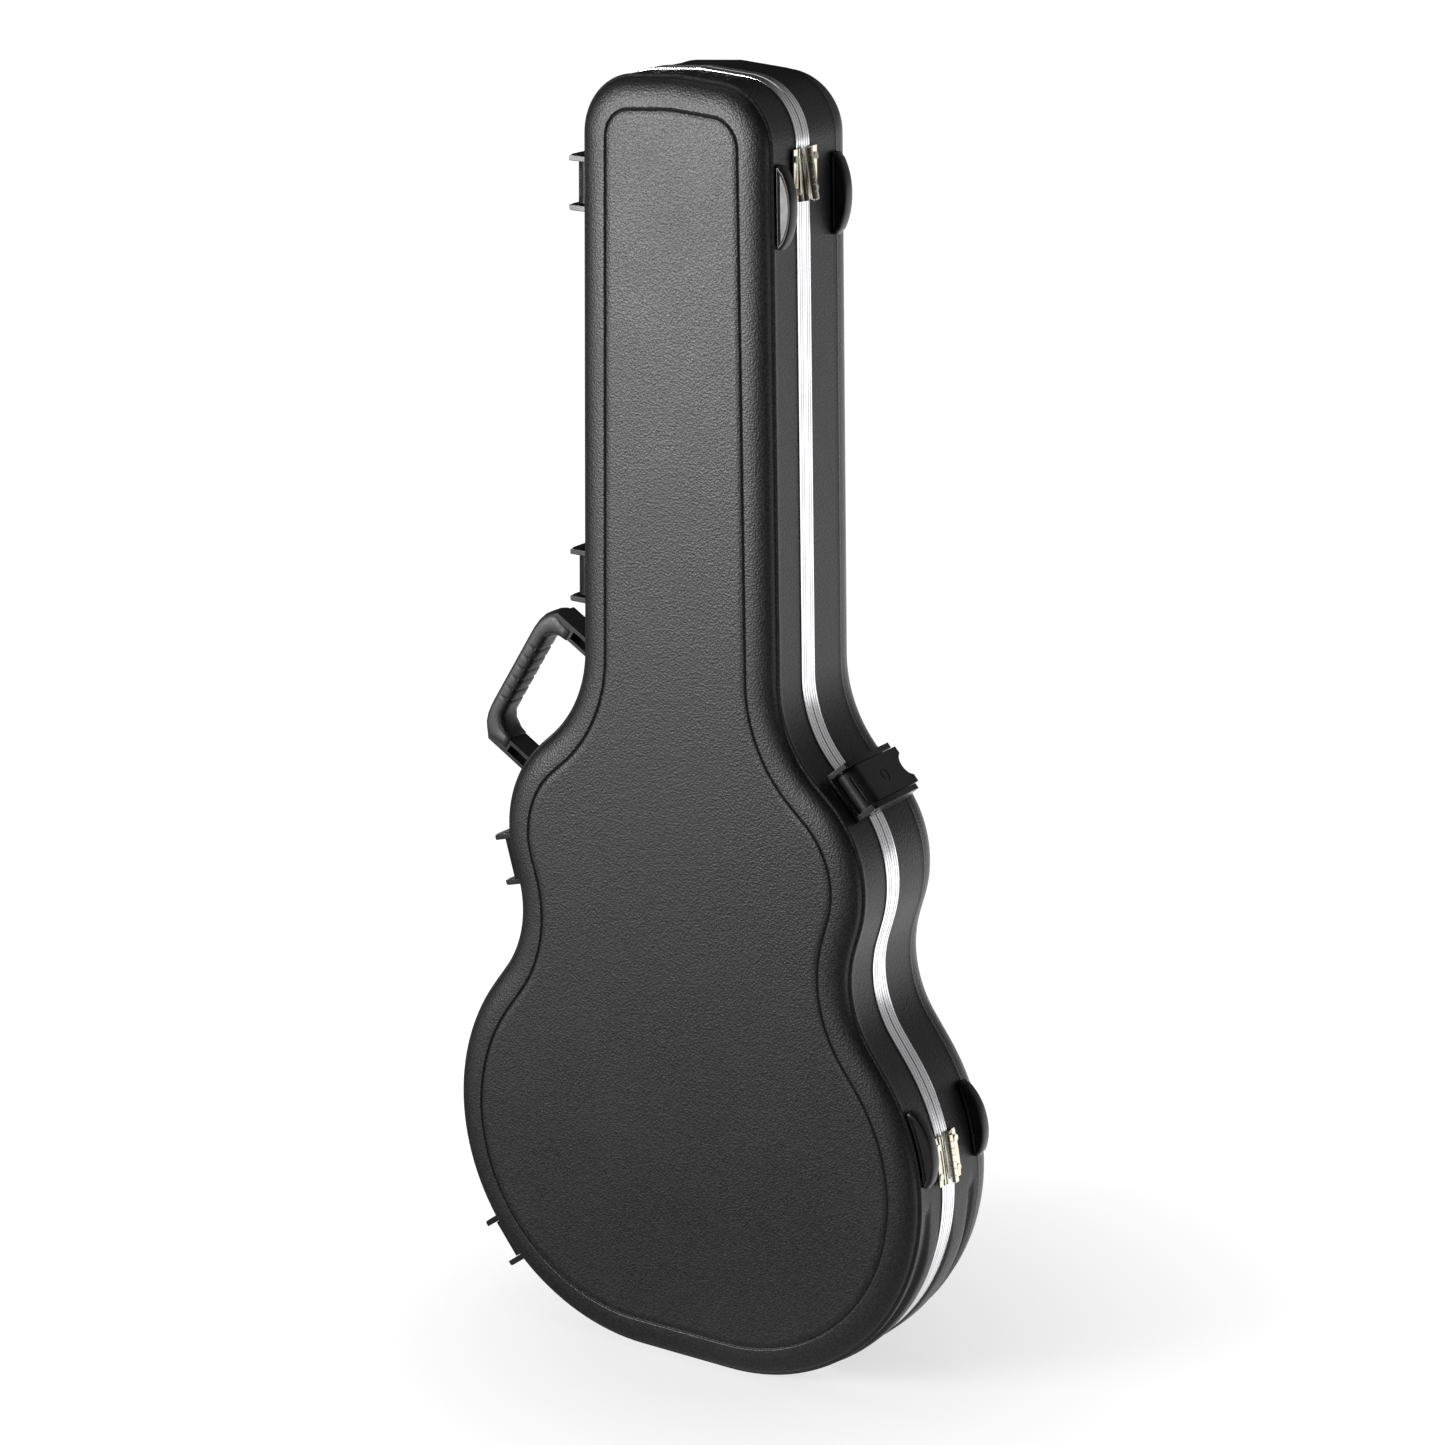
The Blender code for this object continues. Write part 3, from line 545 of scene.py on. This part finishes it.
# ---------------------------------------------------------------- valances
def valance_skin(name, node, body, sign):
    """Extruded rim with fine grooves along its face."""
    section = [(-0.0005, 0.0002), (0.0, 0.0008)]
    for groove in (0.0036, 0.0068):
        section += [(0.0, groove - 0.0006), (-0.0007, groove - 0.0003)]
        section += [(-0.0007, groove + 0.0003), (0.0, groove + 0.0006)]
    section += [(0.0, 0.0093), (-0.0003, 0.0099), (-0.0006, 0.0100), (-0.0012, 0.0100)]
    section += [(-0.0012, 0.0084), (-0.0060, 0.0084), (-0.0060, 0.0002)]
    loops = [ring(lambda d, o=out - RIM_TRIM, v=y: (o, sign * v)) for out, y in section]
    skin = link(name, loft(name, loops, closed=True), ALUMINIUM, body, 30)
    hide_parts(node)


valance_skin("lid_valance_rim", "lid_valance", "lid", -1.0)
valance_skin("base_valance_rim", "base_valance", "base", 1.0)


# ---------------------------------------------------------------- linings
def lining(name, node, body, sign, ridge_y, face_y, thickness):
    """Plush-faced padding that follows the inside of a shell, with a piped
    edge and a softly crowned floor."""
    skin = LINER_SKIN

    def place(inset, y):
        return lambda d: (-inset, sign * y)

    edge = RIM_EDGE_Y + 0.0008
    face = abs(face_y)
    ridge = abs(ridge_y)
    start = SHOULDER_INSET + skin
    reach, rise = SHOULDER - skin, face - ridge - skin
    quarter = [math.pi / 2 * k / 6 for k in range(7)]
    outer = [place(start + 0.0006, edge + 0.0010)]
    for angle in quarter:
        inset = SHOULDER_INSET + SHOULDER - reach * math.cos(angle)
        outer.append(place(inset, ridge + rise * math.sin(angle) - 0.0002))
    full = start + thickness
    inner = [
        place(start + 0.0016, edge + 0.0001),
        place(start + thickness * 0.5, edge - 0.0004),
        place(full - 0.0014, edge + 0.0002),
        place(full - 0.0002, edge + 0.0014),
        place(full + 0.0002, edge + 0.0045),
        place(full - 0.0009, edge + 0.0062),
        place(full - 0.0004, edge + 0.0080),
    ]
    floor = face - skin - thickness
    corner = min(0.011, (floor - edge) * 0.3)
    for angle in quarter:
        inset = full + corner * (1 - math.cos(angle))
        inner.append(place(inset, floor - corner * (1 - math.sin(angle))))
    for more, up in ((0.004, 0.0003), (0.009, 0.0007), (0.015, 0.0011), (0.021, 0.0013)):
        inner.append(place(full + corner + more, floor - up))
    loops = [ring(r) for r in list(reversed(outer)) + inner]
    pad = link(name, loft(name, loops), PLUSH, body, 60)
    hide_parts(node)


lining("base_lining_pad", "base_liner", "base", 1.0, BASE_RIDGE_Y, BASE_FACE_Y, 0.0092)
lining("lid_lining_pad", "lid_liner", "lid", -1.0, LID_RIDGE_Y, LID_FACE_Y, 0.0068)

# ---------------------------------------------------------------- joint frames
JOINTS = {joint["name"]: joint for joint in frame["record"]["behaviour"]["joints"]}


def joint_frame(name):
    """A joint's frame: X along its axis, Y towards the back, Z outwards."""
    axis = Vector(JOINTS[name]["axis"]).normalized()
    outward = axis.cross(Y_AXIS).normalized()
    turn = Matrix((axis, Y_AXIS, outward)).transposed().to_4x4()
    return Matrix.Translation(Vector(JOINTS[name]["pos_m"])) @ turn


# ---------------------------------------------------------------- latches
LATCHES = ("neck", "shoulder", "waist", "bottom", "hinge_side")
# All in a frame on the rim: Y towards the back, out from the valance.
PIN_Y, PIN_OUT = -0.0165, 0.0140
LEVER_HALF = 0.0178
LEVER_TOP, LEVER_UNDER, LEVER_TIP = 0.0228, 0.0186, 0.0455
WING_IN, WING_OUT, WING_TOP, WING_BACK = 0.0184, 0.0234, 0.0240, 0.0420
SEAT = -0.0011
LIP_TOP = 0.0034


def circle(cx, cy, rx, ry, steps):
    """A closed ellipse."""
    return arc_points(cx, cy, rx, ry, 0, 360, steps)[:-1]


def lever_mesh():
    """Rolled nose, flat thumb plate with a slot and an oval mark, horned tip."""
    roll = arc_points(-0.0148, 0.0098, 0.0119, 0.0130, 212, 90, 14)
    profile = roll + [
        (0.0020, LEVER_TOP),
        (0.0300, LEVER_TOP),
        (0.0400, LEVER_TOP + 0.0003),
        (LEVER_TIP, LEVER_TOP + 0.0006),
        (LEVER_TIP, LEVER_UNDER + 0.0010),
        (0.0300, LEVER_UNDER),
        (0.0010, LEVER_UNDER),
        (-0.0050, 0.0165),
        (-0.0092, 0.0120),
        (-0.0120, 0.0084),
        (-0.0190, 0.0062),
    ]
    piece = loose("lever", prism("lever", profile, -LEVER_HALF, LEVER_HALF, 0))
    scoop = circle(0.0, LEVER_TIP + 0.0030, 0.0112, 0.0100, 48)
    boolean(piece, loose("scoop", prism("scoop", scoop, LEVER_UNDER - 0.004, LEVER_TOP + 0.004, 2)))
    nose = circle(-0.0249, 0.0166, 0.0009, 0.0009, 12)
    boolean(piece, loose("slot", prism("slot", nose, -0.0120, 0.0120, 0)))
    sections = []
    for scale, z in ((1.0, 0.002), (1.0, -0.0007), (0.80, -0.0007), (0.80, 0.002)):
        oval = circle(0.0, 0.0106, 0.0062 * scale, 0.0046 * scale, 40)
        sections.append([(x, y, LEVER_TOP + z) for x, y in oval])
    boolean(piece, loose("mark", loft("mark", sections, closed=True)))
    return keep_mesh(piece)


def wing_profile():
    """Side view of a guard wing: it arches over the lid's edge to a round tip."""
    tip = arc_points(WING_BACK - 0.0046, WING_TOP - 0.0046, 0.0046, 0.0046, 0, 90, 7)
    return [(WING_BACK, SEAT)] + tip + [
        (0.0100, WING_TOP),
        (-0.0262, WING_TOP),
        (-0.0274, WING_TOP - 0.0006),
        (-0.0280, WING_TOP - 0.0018),
        (-0.0280, 0.0160),
        (-0.0240, 0.0118),
        (-0.0200, 0.0088),
        (-0.0130, 0.0056),
        (-0.0060, 0.0036),
        (0.0102, 0.0022),
        (0.0106, SEAT),
    ]


def bracket_mesh():
    """Two guard wings on the base, tied by a plate under the lever's tip."""
    piece = loose("bracket", prism("wing", wing_profile(), -WING_OUT, -WING_IN, 0))
    boolean(piece, loose("wing", prism("wing", wing_profile(), WING_IN, WING_OUT, 0)), "UNION")
    half = WING_IN + 0.002
    plate = [(-half, 0.0125), (half, 0.0125), (half, 0.0405), (-half, 0.0405)]
    boolean(piece, loose("plate", prism("plate", plate, SEAT + 0.0002, 0.0020, 2)), "UNION")
    return keep_mesh(piece)


def keeper_mesh():
    """Two posts in line with the wings, joined by a low lip in front."""
    post_top = WING_TOP - 0.0004
    profile = [(-WING_OUT, SEAT), (WING_OUT, SEAT), (WING_OUT, post_top - 0.0016)]
    profile += [(WING_OUT - 0.0006, post_top - 0.0004), (WING_OUT - 0.0018, post_top), (WING_IN, post_top)]
    profile += [(WING_IN, LIP_TOP), (-WING_IN, LIP_TOP)]
    profile += [(-x, z) for x, z in reversed(profile[2:6])]
    return prism("keeper", profile, -0.0312, -0.0288, 1)


def latches():
    """The three mouldings of a latch, set at each lever's hinge."""
    meshes = {"lever": lever_mesh(), "bracket": bracket_mesh(), "keeper": keeper_mesh()}
    bodies = {"bracket": "base", "keeper": "lid"}
    for label in LATCHES:
        at_pin = joint_frame(f"latch_{label}_lever_hinge")
        seat = at_pin @ Matrix.Translation((0.0, -PIN_Y, -PIN_OUT))
        for part, mesh in meshes.items():
            node = f"latch_{label}_{part}"
            body = bodies.get(part, node)
            piece = link(f"{node}_moulding", mesh, NYLON, body, 40, seat)
            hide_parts(node)
            bevel(piece, 0.0005 if part == "lever" else 0.0006, 35)


latches()

# ---------------------------------------------------------------- handle grip
GRIP_HALF = 0.0134
FINGER_LINES = 6
FINGER_PITCH = 0.0120
FINGER_DEPTH = 0.0013
FINGER_HALF = 0.0021


def grip_section(outer, inner, half, groove=0.0, count=28, squareness=0.55):
    """A rounded rectangle between an outer and an inner point, drawn in under
    the fingers where groove is above 0."""
    (x0, z0), (x1, z1) = inner, outer
    reach = math.hypot(x1 - x0, z1 - z0) / 2
    ux, uz = (x1 - x0) / (2 * reach), (z1 - z0) / (2 * reach)
    cx, cz = (x0 + x1) / 2, (z0 + z1) / 2
    section = []
    for k in range(count):
        turn = math.tau * k / count
        c, n = math.cos(turn), math.sin(turn)
        u = reach * math.copysign(abs(c) ** squareness, c)
        v = half * math.copysign(abs(n) ** squareness, n)
        shrink = groove * FINGER_DEPTH
        if u < 0:
            u += shrink * min(1.0, -u / reach * 1.4)
        if v:
            v -= math.copysign(shrink * 0.5 * min(1.0, max(0.0, 0.4 - u / reach)), v)
        section.append((cx + ux * u, v, cz + uz * u))
    return section


def finger_groove(along):
    """1 in the middle of a finger line, 0 between them."""
    middle = (FINGER_LINES - 1) / 2
    nearest = min(abs(along - (k - middle) * FINGER_PITCH) for k in range(FINGER_LINES))
    return max(0.0, 1 - (nearest / FINGER_HALF) ** 2)


def grip():
    """The overmould: up one arm, round the corner, along the bar and back.
    Each corner entry is an outer and an inner point across the arm."""
    corner = [
        ((0.0712, 0.0263), (0.0574, 0.0263)),
        ((0.0713, 0.0270), (0.0568, 0.0268)),
        ((0.0713, 0.0345), (0.0562, 0.0312)),
        ((0.0722, 0.0400), (0.0556, 0.0335)),
        ((0.0741, 0.0446), (0.0549, 0.0352)),
        ((0.0730, 0.0488), (0.0538, 0.0370)),
        ((0.0694, 0.0530), (0.0520, 0.0392)),
        ((0.0636, 0.0569), (0.0497, 0.0414)),
        ((0.0556, 0.0593), (0.0468, 0.0433)),
        ((0.0470, 0.0603), (0.0440, 0.0441)),
    ]
    halves = [GRIP_HALF - 0.0008] + [GRIP_HALF] * (len(corner) - 1)  # the ends are drawn in
    loops = [grip_section(outer, inner, half) for (outer, inner), half in zip(corner, halves)]
    bar, steps = 0.0390, 75
    for k in range(steps + 1):
        along = bar - 2 * bar * k / steps
        loops.append(grip_section((along, 0.0605), (along, 0.0440), GRIP_HALF, finger_groove(along)))
    for ((ox, oz), (ix, iz)), half in reversed(list(zip(corner, halves))):
        loops.append(grip_section((-ox, oz), (-ix, iz), half))
    at = joint_frame("handle_swing")
    mesh = loft("handle_grip", loops)
    piece = link("handle_grip_overmould", mesh, RUBBER, "handle", 60, at)
    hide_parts("handle_grip")


grip()


# ---------------------------------------------------------------- bumpers
BUMPERS = {"upper": (1.2065, 1.2747), "lower": (0.3757, 0.4429)}  # distances round the rim
BUMPER_PROUD, BUMPER_END = 0.0140, 0.0046
BUMPER_ARCH = 2.2
BUMPER_TIP = 0.04  # the part of its length that is rounded off at each end


def bumper_outline(span, inset, steps=30):
    """A half-moon outline in X and Z: flat root on the band, arched crown."""
    start, end = span[0] + inset, span[1] - inset
    root, crown = [], []
    for k in range(steps + 1):
        part = k / steps
        distance = start + (end - start) * part
        swell = BUMPER_END + (BUMPER_PROUD - BUMPER_END) * (1 - abs(2 * part - 1) ** BUMPER_ARCH)
        if part < BUMPER_TIP or part > 1 - BUMPER_TIP:
            swell -= 0.0011
        root.append(rim_point(distance, -0.0010 + inset))
        crown.append(rim_point(distance, swell - inset))
    return [(p.x, p.z) for p in root + list(reversed(crown))]


def bumper(name, span, body):
    """A fender with a rounded crown and a face sunk inside a raised rim."""
    low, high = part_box(name)
    front, back = low.y, high.y
    steps = (
        (0.0012, back),
        (0.0004, back - 0.0004),
        (0.0, back - 0.0012),
        (0.0, front + 0.0020),
        (0.0004, front + 0.0009),
        (0.0011, front + 0.0002),
        (0.0018, front),
        (0.0024, front + 0.0001),
        (0.0028, front + 0.0006),
        (0.0034, front + 0.0008),
        (0.0042, front + 0.0008),
    )
    loops = [[(x, y, z) for x, z in bumper_outline(span, inset)] for inset, y in steps]
    piece = link(f"{name}_moulding", loft(name, loops), NYLON, body, 50)
    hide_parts(name)


for label, span in BUMPERS.items():
    bumper(f"lid_bumper_{label}", span, "lid")
    bumper(f"base_bumper_{label}", span, "base")


# ---------------------------------------------------------------- hinge leaves
def gap_to_rim(point, outward, out):
    """How far in from a point on the hinge axis the rim lies."""
    path = [p + n * out + SHIFT for _, p, n in STATIONS]
    best = None
    for a, b in zip(path, path[1:]):
        edge, rel = b - a, a - point
        spread = outward.x * edge.z - outward.z * edge.x
        if abs(spread) < 1e-9:
            continue
        reach = (rel.x * edge.z - rel.z * edge.x) / spread
        part = (rel.x * outward.z - rel.z * outward.x) / spread
        if -1e-9 <= part <= 1 + 1e-9 and (best is None or abs(reach) < abs(best)):
            best = reach
    return best


def hinge_frame(label):
    """The hinge's frame: X down the pin, Y towards the back, Z outwards."""
    low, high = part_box(f"hinge_{label}_pin")
    axis = -Vector(JOINTS["lid_hinge"]["axis"]).normalized()
    turn = Matrix((axis, Y_AXIS, axis.cross(Y_AXIS))).transposed().to_4x4()
    return Matrix.Translation((low + high) / 2) @ turn


def hinge_leaf(label, part, sign, stations=25):
    """A pressed leaf that follows the rim, with two ribs along it. The edge
    beside the pin is lifted where the rim falls away."""
    node = f"hinge_{label}_{part}_leaf"
    at = hinge_frame(label)
    half, skin, clear = 0.0213, 0.0013, 0.0006
    along_axis = (at.to_3x3() @ Vector((1.0, 0.0, 0.0))).normalized()
    outward = (at.to_3x3() @ Vector((0.0, 0.0, 1.0))).normalized()
    loops = []
    for k in range(stations):
        along = -half + 2 * half * k / (stations - 1)
        seat = gap_to_rim(at.translation + along_axis * along, outward, clear)
        edge = seat + skin
        shoulder = max(edge, -0.0034)
        rise = shoulder - edge
        top = [
            (0.0175, edge - 0.0004),
            (0.0172, edge),
            (0.0112, edge),
            (0.0107, edge + 0.0008 + rise * 0.2),
            (0.0097, edge + 0.0008 + rise * 0.4),
            (0.0092, edge + rise * 0.4),
            (0.0080, edge + rise * 0.6),
            (0.0075, edge + 0.0009 + rise * 0.8),
            (0.0064, edge + 0.0009 + rise),
            (0.0059, shoulder + 0.0002),
            (0.0050, shoulder + 0.0003),
            (0.0046, shoulder - 0.0004),
        ]
        section = [(0.0046, seat), (0.0175, seat)] + top
        loops.append([(along, sign * y, n) for y, n in section])
    piece = link(f"{node}_plate", loft(node, loops), NICKEL, part, 25, at)
    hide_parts(node)


for label in ("upper", "lower"):
    hinge_leaf(label, "base", 1.0)
    hinge_leaf(label, "lid", -1.0)


# ---------------------------------------------------------------- hinge knuckles
def hinge_barrel(label, segments=7, half=0.0212, outer=0.0033, bore=0.0017):
    """Rolled knuckles round the pin, parted by fine joints."""
    at = hinge_frame(label)
    stations = [(-half, outer - 0.0004)]
    for k in range(segments):
        start = -half + 2 * half * k / segments
        end = -half + 2 * half * (k + 1) / segments
        stations += [(start + 0.0003, outer), (end - 0.0003, outer), (end, outer - 0.0006)]
    stations[-1] = (half, outer - 0.0004)
    loops = []
    for along, radius in [(-half, bore)] + stations + [(half, bore)]:
        loops.append([(along, y, z) for y, z in circle(0.0, 0.0, radius, radius, 20)])
    link(f"hinge_{label}_barrel", loft("barrel", loops, closed=True), NICKEL, "base", 30, at)


for label in ("upper", "lower"):
    hinge_barrel(label)


# ---------------------------------------------------------------- inside the base
def cradle_pad():
    """Plush-covered foam that the neck lies in, with soft edges."""
    low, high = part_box("neck_cradle")
    middle, half = (low.x + high.x) / 2, (high.x - low.x) / 2
    notch, side, deep = 0.0300, CHAMFER_SIDE, CHAMFER_DEEP
    section = [(-half, low.y + 0.0030), (-half + 0.0009, low.y + 0.0009), (-half + 0.0030, low.y)]
    section += [(-notch - 0.0040, low.y), (-notch - 0.0010, low.y + 0.0012)]
    for k in range(21):
        turn = math.pi * (0.06 + 0.88 * k / 20)
        section.append((-notch * math.cos(turn), low.y + notch * math.sin(turn)))
    section += [(notch + 0.0010, low.y + 0.0012), (notch + 0.0040, low.y)]
    section += [(half - 0.0030, low.y), (half - 0.0009, low.y + 0.0009), (half, low.y + 0.0030)]
    section += [(half, high.y - deep), (half - side * 0.5, high.y - deep * 0.42), (half - side, high.y)]
    section += [(-half + side, high.y), (-half + side * 0.5, high.y - deep * 0.42), (-half, high.y - deep)]
    loops = []
    for inset, z in (
        (0.0034, low.z), (0.0013, low.z + 0.0006), (0.0003, low.z + 0.0020), (0.0, low.z + 0.0050),
        (0.0004, (low.z + high.z) / 2),
        (0.0, high.z - 0.0050), (0.0003, high.z - 0.0020), (0.0013, high.z - 0.0006), (0.0034, high.z),
    ):
        loops.append([(middle + x, y, z) for x, y in inset_loop(section, inset)])
    piece = link("neck_cradle_pad", loft("cradle", loops), FOAM, "base", 60)
    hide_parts("neck_cradle")


def rounded_box(low, high, radius):
    """The front outline of a box, its corners rounded."""
    corners = []
    for cx, cz, start in (
        (high.x - radius, high.z - radius, 0),
        (low.x + radius, high.z - radius, 90),
        (low.x + radius, low.z + radius, 180),
        (high.x - radius, low.z + radius, 270),
    ):
        corners += arc_points(cx, cz, radius, radius, start, start + 90, 5)
    return corners


def box_loop(corners, low, high, inset, rise_inset):
    """The box outline drawn in from its sides and from its top and bottom."""
    middle, tall = (low.x + high.x) / 2, (low.z + high.z) / 2
    half, rise = (high.x - low.x) / 2, (high.z - low.z) / 2
    return [
        (middle + (x - middle) * (half - inset) / half, tall + (z - tall) * (rise - rise_inset) / rise)
        for x, z in corners
    ]


def faced_board(name, node, body, finish, radius, steps):
    """A board with rounded corners, built up through its thickness; each step
    is (inset, part of the thickness from the back)."""
    low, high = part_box(node)
    corners = rounded_box(low, high, radius)
    loops = []
    for inset, depth in steps:
        y = high.y + (low.y - high.y) * depth
        loops.append([(x, y, z) for x, z in box_loop(corners, low, high, inset, inset)])
    piece = link(name, loft(name, loops), finish, body, 60)
    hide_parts(node)


cradle_pad()
faced_board(
    "accessory_door_panel", "accessory_door", "accessory_door", PLUSH, 0.003,
    ((0.0007, 0.0), (0.0, 0.22), (0.0, 0.62), (0.0006, 0.82), (0.0022, 0.90), (0.0048, 0.90),
     (0.0054, 0.72), (0.0060, 0.90), (0.0100, 0.98), (0.0180, 1.0)),
)
faced_board(
    "accessory_pull_ribbon", "accessory_pull_tab", "accessory_door", RIBBON, 0.0012,
    ((0.0003, 0.0), (0.0, 0.3), (0.0, 0.6), (0.0004, 0.9), (0.0012, 1.0), (0.0020, 0.86), (0.0026, 0.80)),
)


def accessory_box():
    """The open-fronted box: a rolled cloth edge round a hollow. Its back
    corners are cut to clear the shell's shoulder."""
    low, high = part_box("accessory_box")
    wall, radius = 0.0025, 0.0030
    corners = rounded_box(low, high, radius)
    side, deep = CHAMFER_SIDE, CHAMFER_DEEP
    outer = [(0.0004, low.y + 0.0002), (0.0, low.y + 0.0008), (0.0, high.y - deep)]
    outer += [(side * 0.45, high.y - deep * 0.40), (side, high.y)]
    inner = [(0.0012, low.y), (0.0020, low.y + 0.0003), (wall, low.y + 0.0010), (wall, high.y - deep)]
    inner += [(wall + side * 0.45, high.y - deep * 0.40 - wall * 0.6), (wall + side, high.y - wall)]
    loops = []
    for inset, y in list(reversed(outer)) + inner:
        loops.append([(x, y, z) for x, z in box_loop(corners, low, high, inset, min(inset, wall))])
    piece = link("accessory_box_body", loft("box", loops), PLUSH, "base", 50)
    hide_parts("accessory_box")


accessory_box()

# ---------------------------------------------------------------- camera, stage, light
CAMERA_AT = Vector((1.9177, -2.8531, 1.6136 + RIM_LIFT)) + SHIFT
YAW, PITCH, ROLL = -0.5887, -0.2926, -0.0042  # radians
SENSOR, LENS = 36.0, 104.25


def place_camera():
    """Turns the camera by yaw, pitch and roll from looking along +Y."""
    camera = bpy.data.objects.new("camera", bpy.data.cameras.new("camera"))
    bpy.context.scene.collection.objects.link(camera)
    bpy.context.scene.camera = camera
    flat = Vector((math.sin(YAW), math.cos(YAW), 0.0)) * math.cos(PITCH)
    forward = flat + Vector((0.0, 0.0, math.sin(PITCH)))
    right = Vector((math.cos(YAW), -math.sin(YAW), 0.0))
    up = right.cross(forward)
    level = math.cos(ROLL) * right + math.sin(ROLL) * up
    upright = -math.sin(ROLL) * right + math.cos(ROLL) * up
    turn = Matrix((level, upright, -forward)).transposed().to_4x4()
    camera.matrix_world = Matrix.Translation(CAMERA_AT) @ turn
    camera.data.sensor_width = SENSOR
    camera.data.lens = LENS
    camera.data.clip_start, camera.data.clip_end = 0.05, 60.0


place_camera()

TOWARDS_BACK_RIGHT = (0.56, 0.83, 0.0)


def glow(tree, place, low, high, near, far):
    """A soft ramp of light along the back-right direction."""
    aim = tree.nodes.new("ShaderNodeVectorMath")
    aim.operation = "DOT_PRODUCT"
    aim.inputs[1].default_value = TOWARDS_BACK_RIGHT
    tree.links.new(place, aim.inputs[0])
    return map_range(tree, aim.outputs["Value"], near, far, low, high, "SMOOTHSTEP")


def floor_glow_painted_shade_near(tree):
    """Floor glow that grows away from the case, so its shadow stays soft; the dimmer ring close round the
    case is painted shade.
    """
    far = tree.nodes.new("ShaderNodeVectorMath")
    far.operation = "LENGTH"
    tree.links.new(tree.nodes.new("ShaderNodeTexCoord").outputs["Object"], far.inputs[0])
    return map_range(tree, far.outputs["Value"], 0.12, 0.62, 0.68, 1.0)


def seen_or_thrown(tree, seen, thrown, target):
    """Shows the camera one shader and lights the scene with another."""
    choose = tree.nodes.new("ShaderNodeMixShader")
    camera_ray = tree.nodes.new("ShaderNodeLightPath").outputs["Is Camera Ray"]
    tree.links.new(camera_ray, choose.inputs["Fac"])
    tree.links.new(thrown, choose.inputs[1])
    tree.links.new(seen, choose.inputs[2])
    tree.links.new(choose.outputs["Shader"], target)


def stage_floor():
    """A white sweep that photographs white away from the case, with painted shade close round it, and
    throws a graded light back.
    """
    bm = bmesh.new()
    bmesh.ops.create_grid(bm, x_segments=2, y_segments=2, size=14.0)
    floor = bpy.data.objects.new("stage_floor", to_mesh("stage_floor", bm))
    bpy.context.scene.collection.objects.link(floor)
    made = bpy.data.materials.new("stage_white")
    made.use_nodes = True
    tree = made.node_tree
    surface = tree.nodes["Principled BSDF"]
    surface.inputs["Base Color"].default_value = (0.45, 0.45, 0.45, 1.0)
    surface.inputs["Roughness"].default_value = 0.9
    surface.inputs["Specular IOR Level"].default_value = 0.0
    surface.inputs["Emission Color"].default_value = (1.0, 1.0, 1.0, 1.0)
    # the floor's glow dims near the case: painted shade round its foot
    tree.links.new(floor_glow_painted_shade_near(tree), surface.inputs["Emission Strength"])
    bounce = tree.nodes.new("ShaderNodeEmission")
    place = tree.nodes.new("ShaderNodeTexCoord").outputs["Object"]
    tree.links.new(glow(tree, place, 0.06, 1.50, -0.25, 0.55), bounce.inputs["Strength"])
    target = tree.nodes["Material Output"].inputs["Surface"]
    seen_or_thrown(tree, surface.outputs["BSDF"], bounce.outputs["Emission"], target)
    floor.data.materials.append(made)


stage_floor()


def softbox(name, at, target, size, size_y, power):
    """A rectangular area light aimed at a point."""
    lamp = bpy.data.lights.new(name, "AREA")
    lamp.shape = "RECTANGLE"
    lamp.size = size
    lamp.size_y = size_y
    lamp.energy = power
    piece = bpy.data.objects.new(name, lamp)
    bpy.context.scene.collection.objects.link(piece)
    piece.location = at
    piece.rotation_mode = "QUATERNION"
    piece.rotation_quaternion = (Vector(target) - Vector(at)).to_track_quat("-Z", "Y")


softbox("key_left", (-2.0, -3.1, 0.90), (0.0, 0.0, 0.9), 1.5, 1.25, 180.0)
softbox("overhead", (-0.6, -0.3, 4.2), (0.0, 0.0, 0.0), 2.6, 2.6, 16.0)


def studio_world():
    """White to the camera, with a soft graded light for everything else."""
    world = bpy.data.worlds.new("studio")
    bpy.context.scene.world = world
    world.use_nodes = True
    sky = world.node_tree
    backdrop = sky.nodes["Background"]
    backdrop.inputs["Color"].default_value = (1.0, 1.0, 1.0, 1.0)
    backdrop.inputs["Strength"].default_value = 1.0
    ambient = sky.nodes.new("ShaderNodeBackground")
    heading = sky.nodes.new("ShaderNodeTexCoord").outputs["Generated"]
    sky.links.new(glow(sky, heading, 0.04, 0.45, 0.45, 1.0), ambient.inputs["Strength"])
    target = sky.nodes["World Output"].inputs["Surface"]
    seen_or_thrown(sky, backdrop.outputs["Background"], ambient.outputs["Background"], target)


studio_world()
bpy.context.scene.view_settings.view_transform = "Standard"

# ---------------------------------------------------------------- finishes for the kept parts
FINISH = {
    "black_nylon": NYLON,
    "nickel": NICKEL,
    "grip_rubber": RUBBER,
    "plush_lining": PLUSH,
    "cradle_foam": FOAM,
    "pull_ribbon": RIBBON,
}
SOFT_EDGE = {"black_nylon": 0.0008, "nickel": 0.0002, "plush_lining": 0.0009}
SOFT_EDGE_ELSE = 0.0003
for entry in frame["record"]["subparts"]:
    node = frame["nodes"][entry["node"]]
    finish = FINISH.get(entry["material_slot"])
    if finish is None:
        continue
    for place in node.material_slots:
        place.material = finish
    bevel(node, SOFT_EDGE.get(entry["material_slot"], SOFT_EDGE_ELSE), 30)
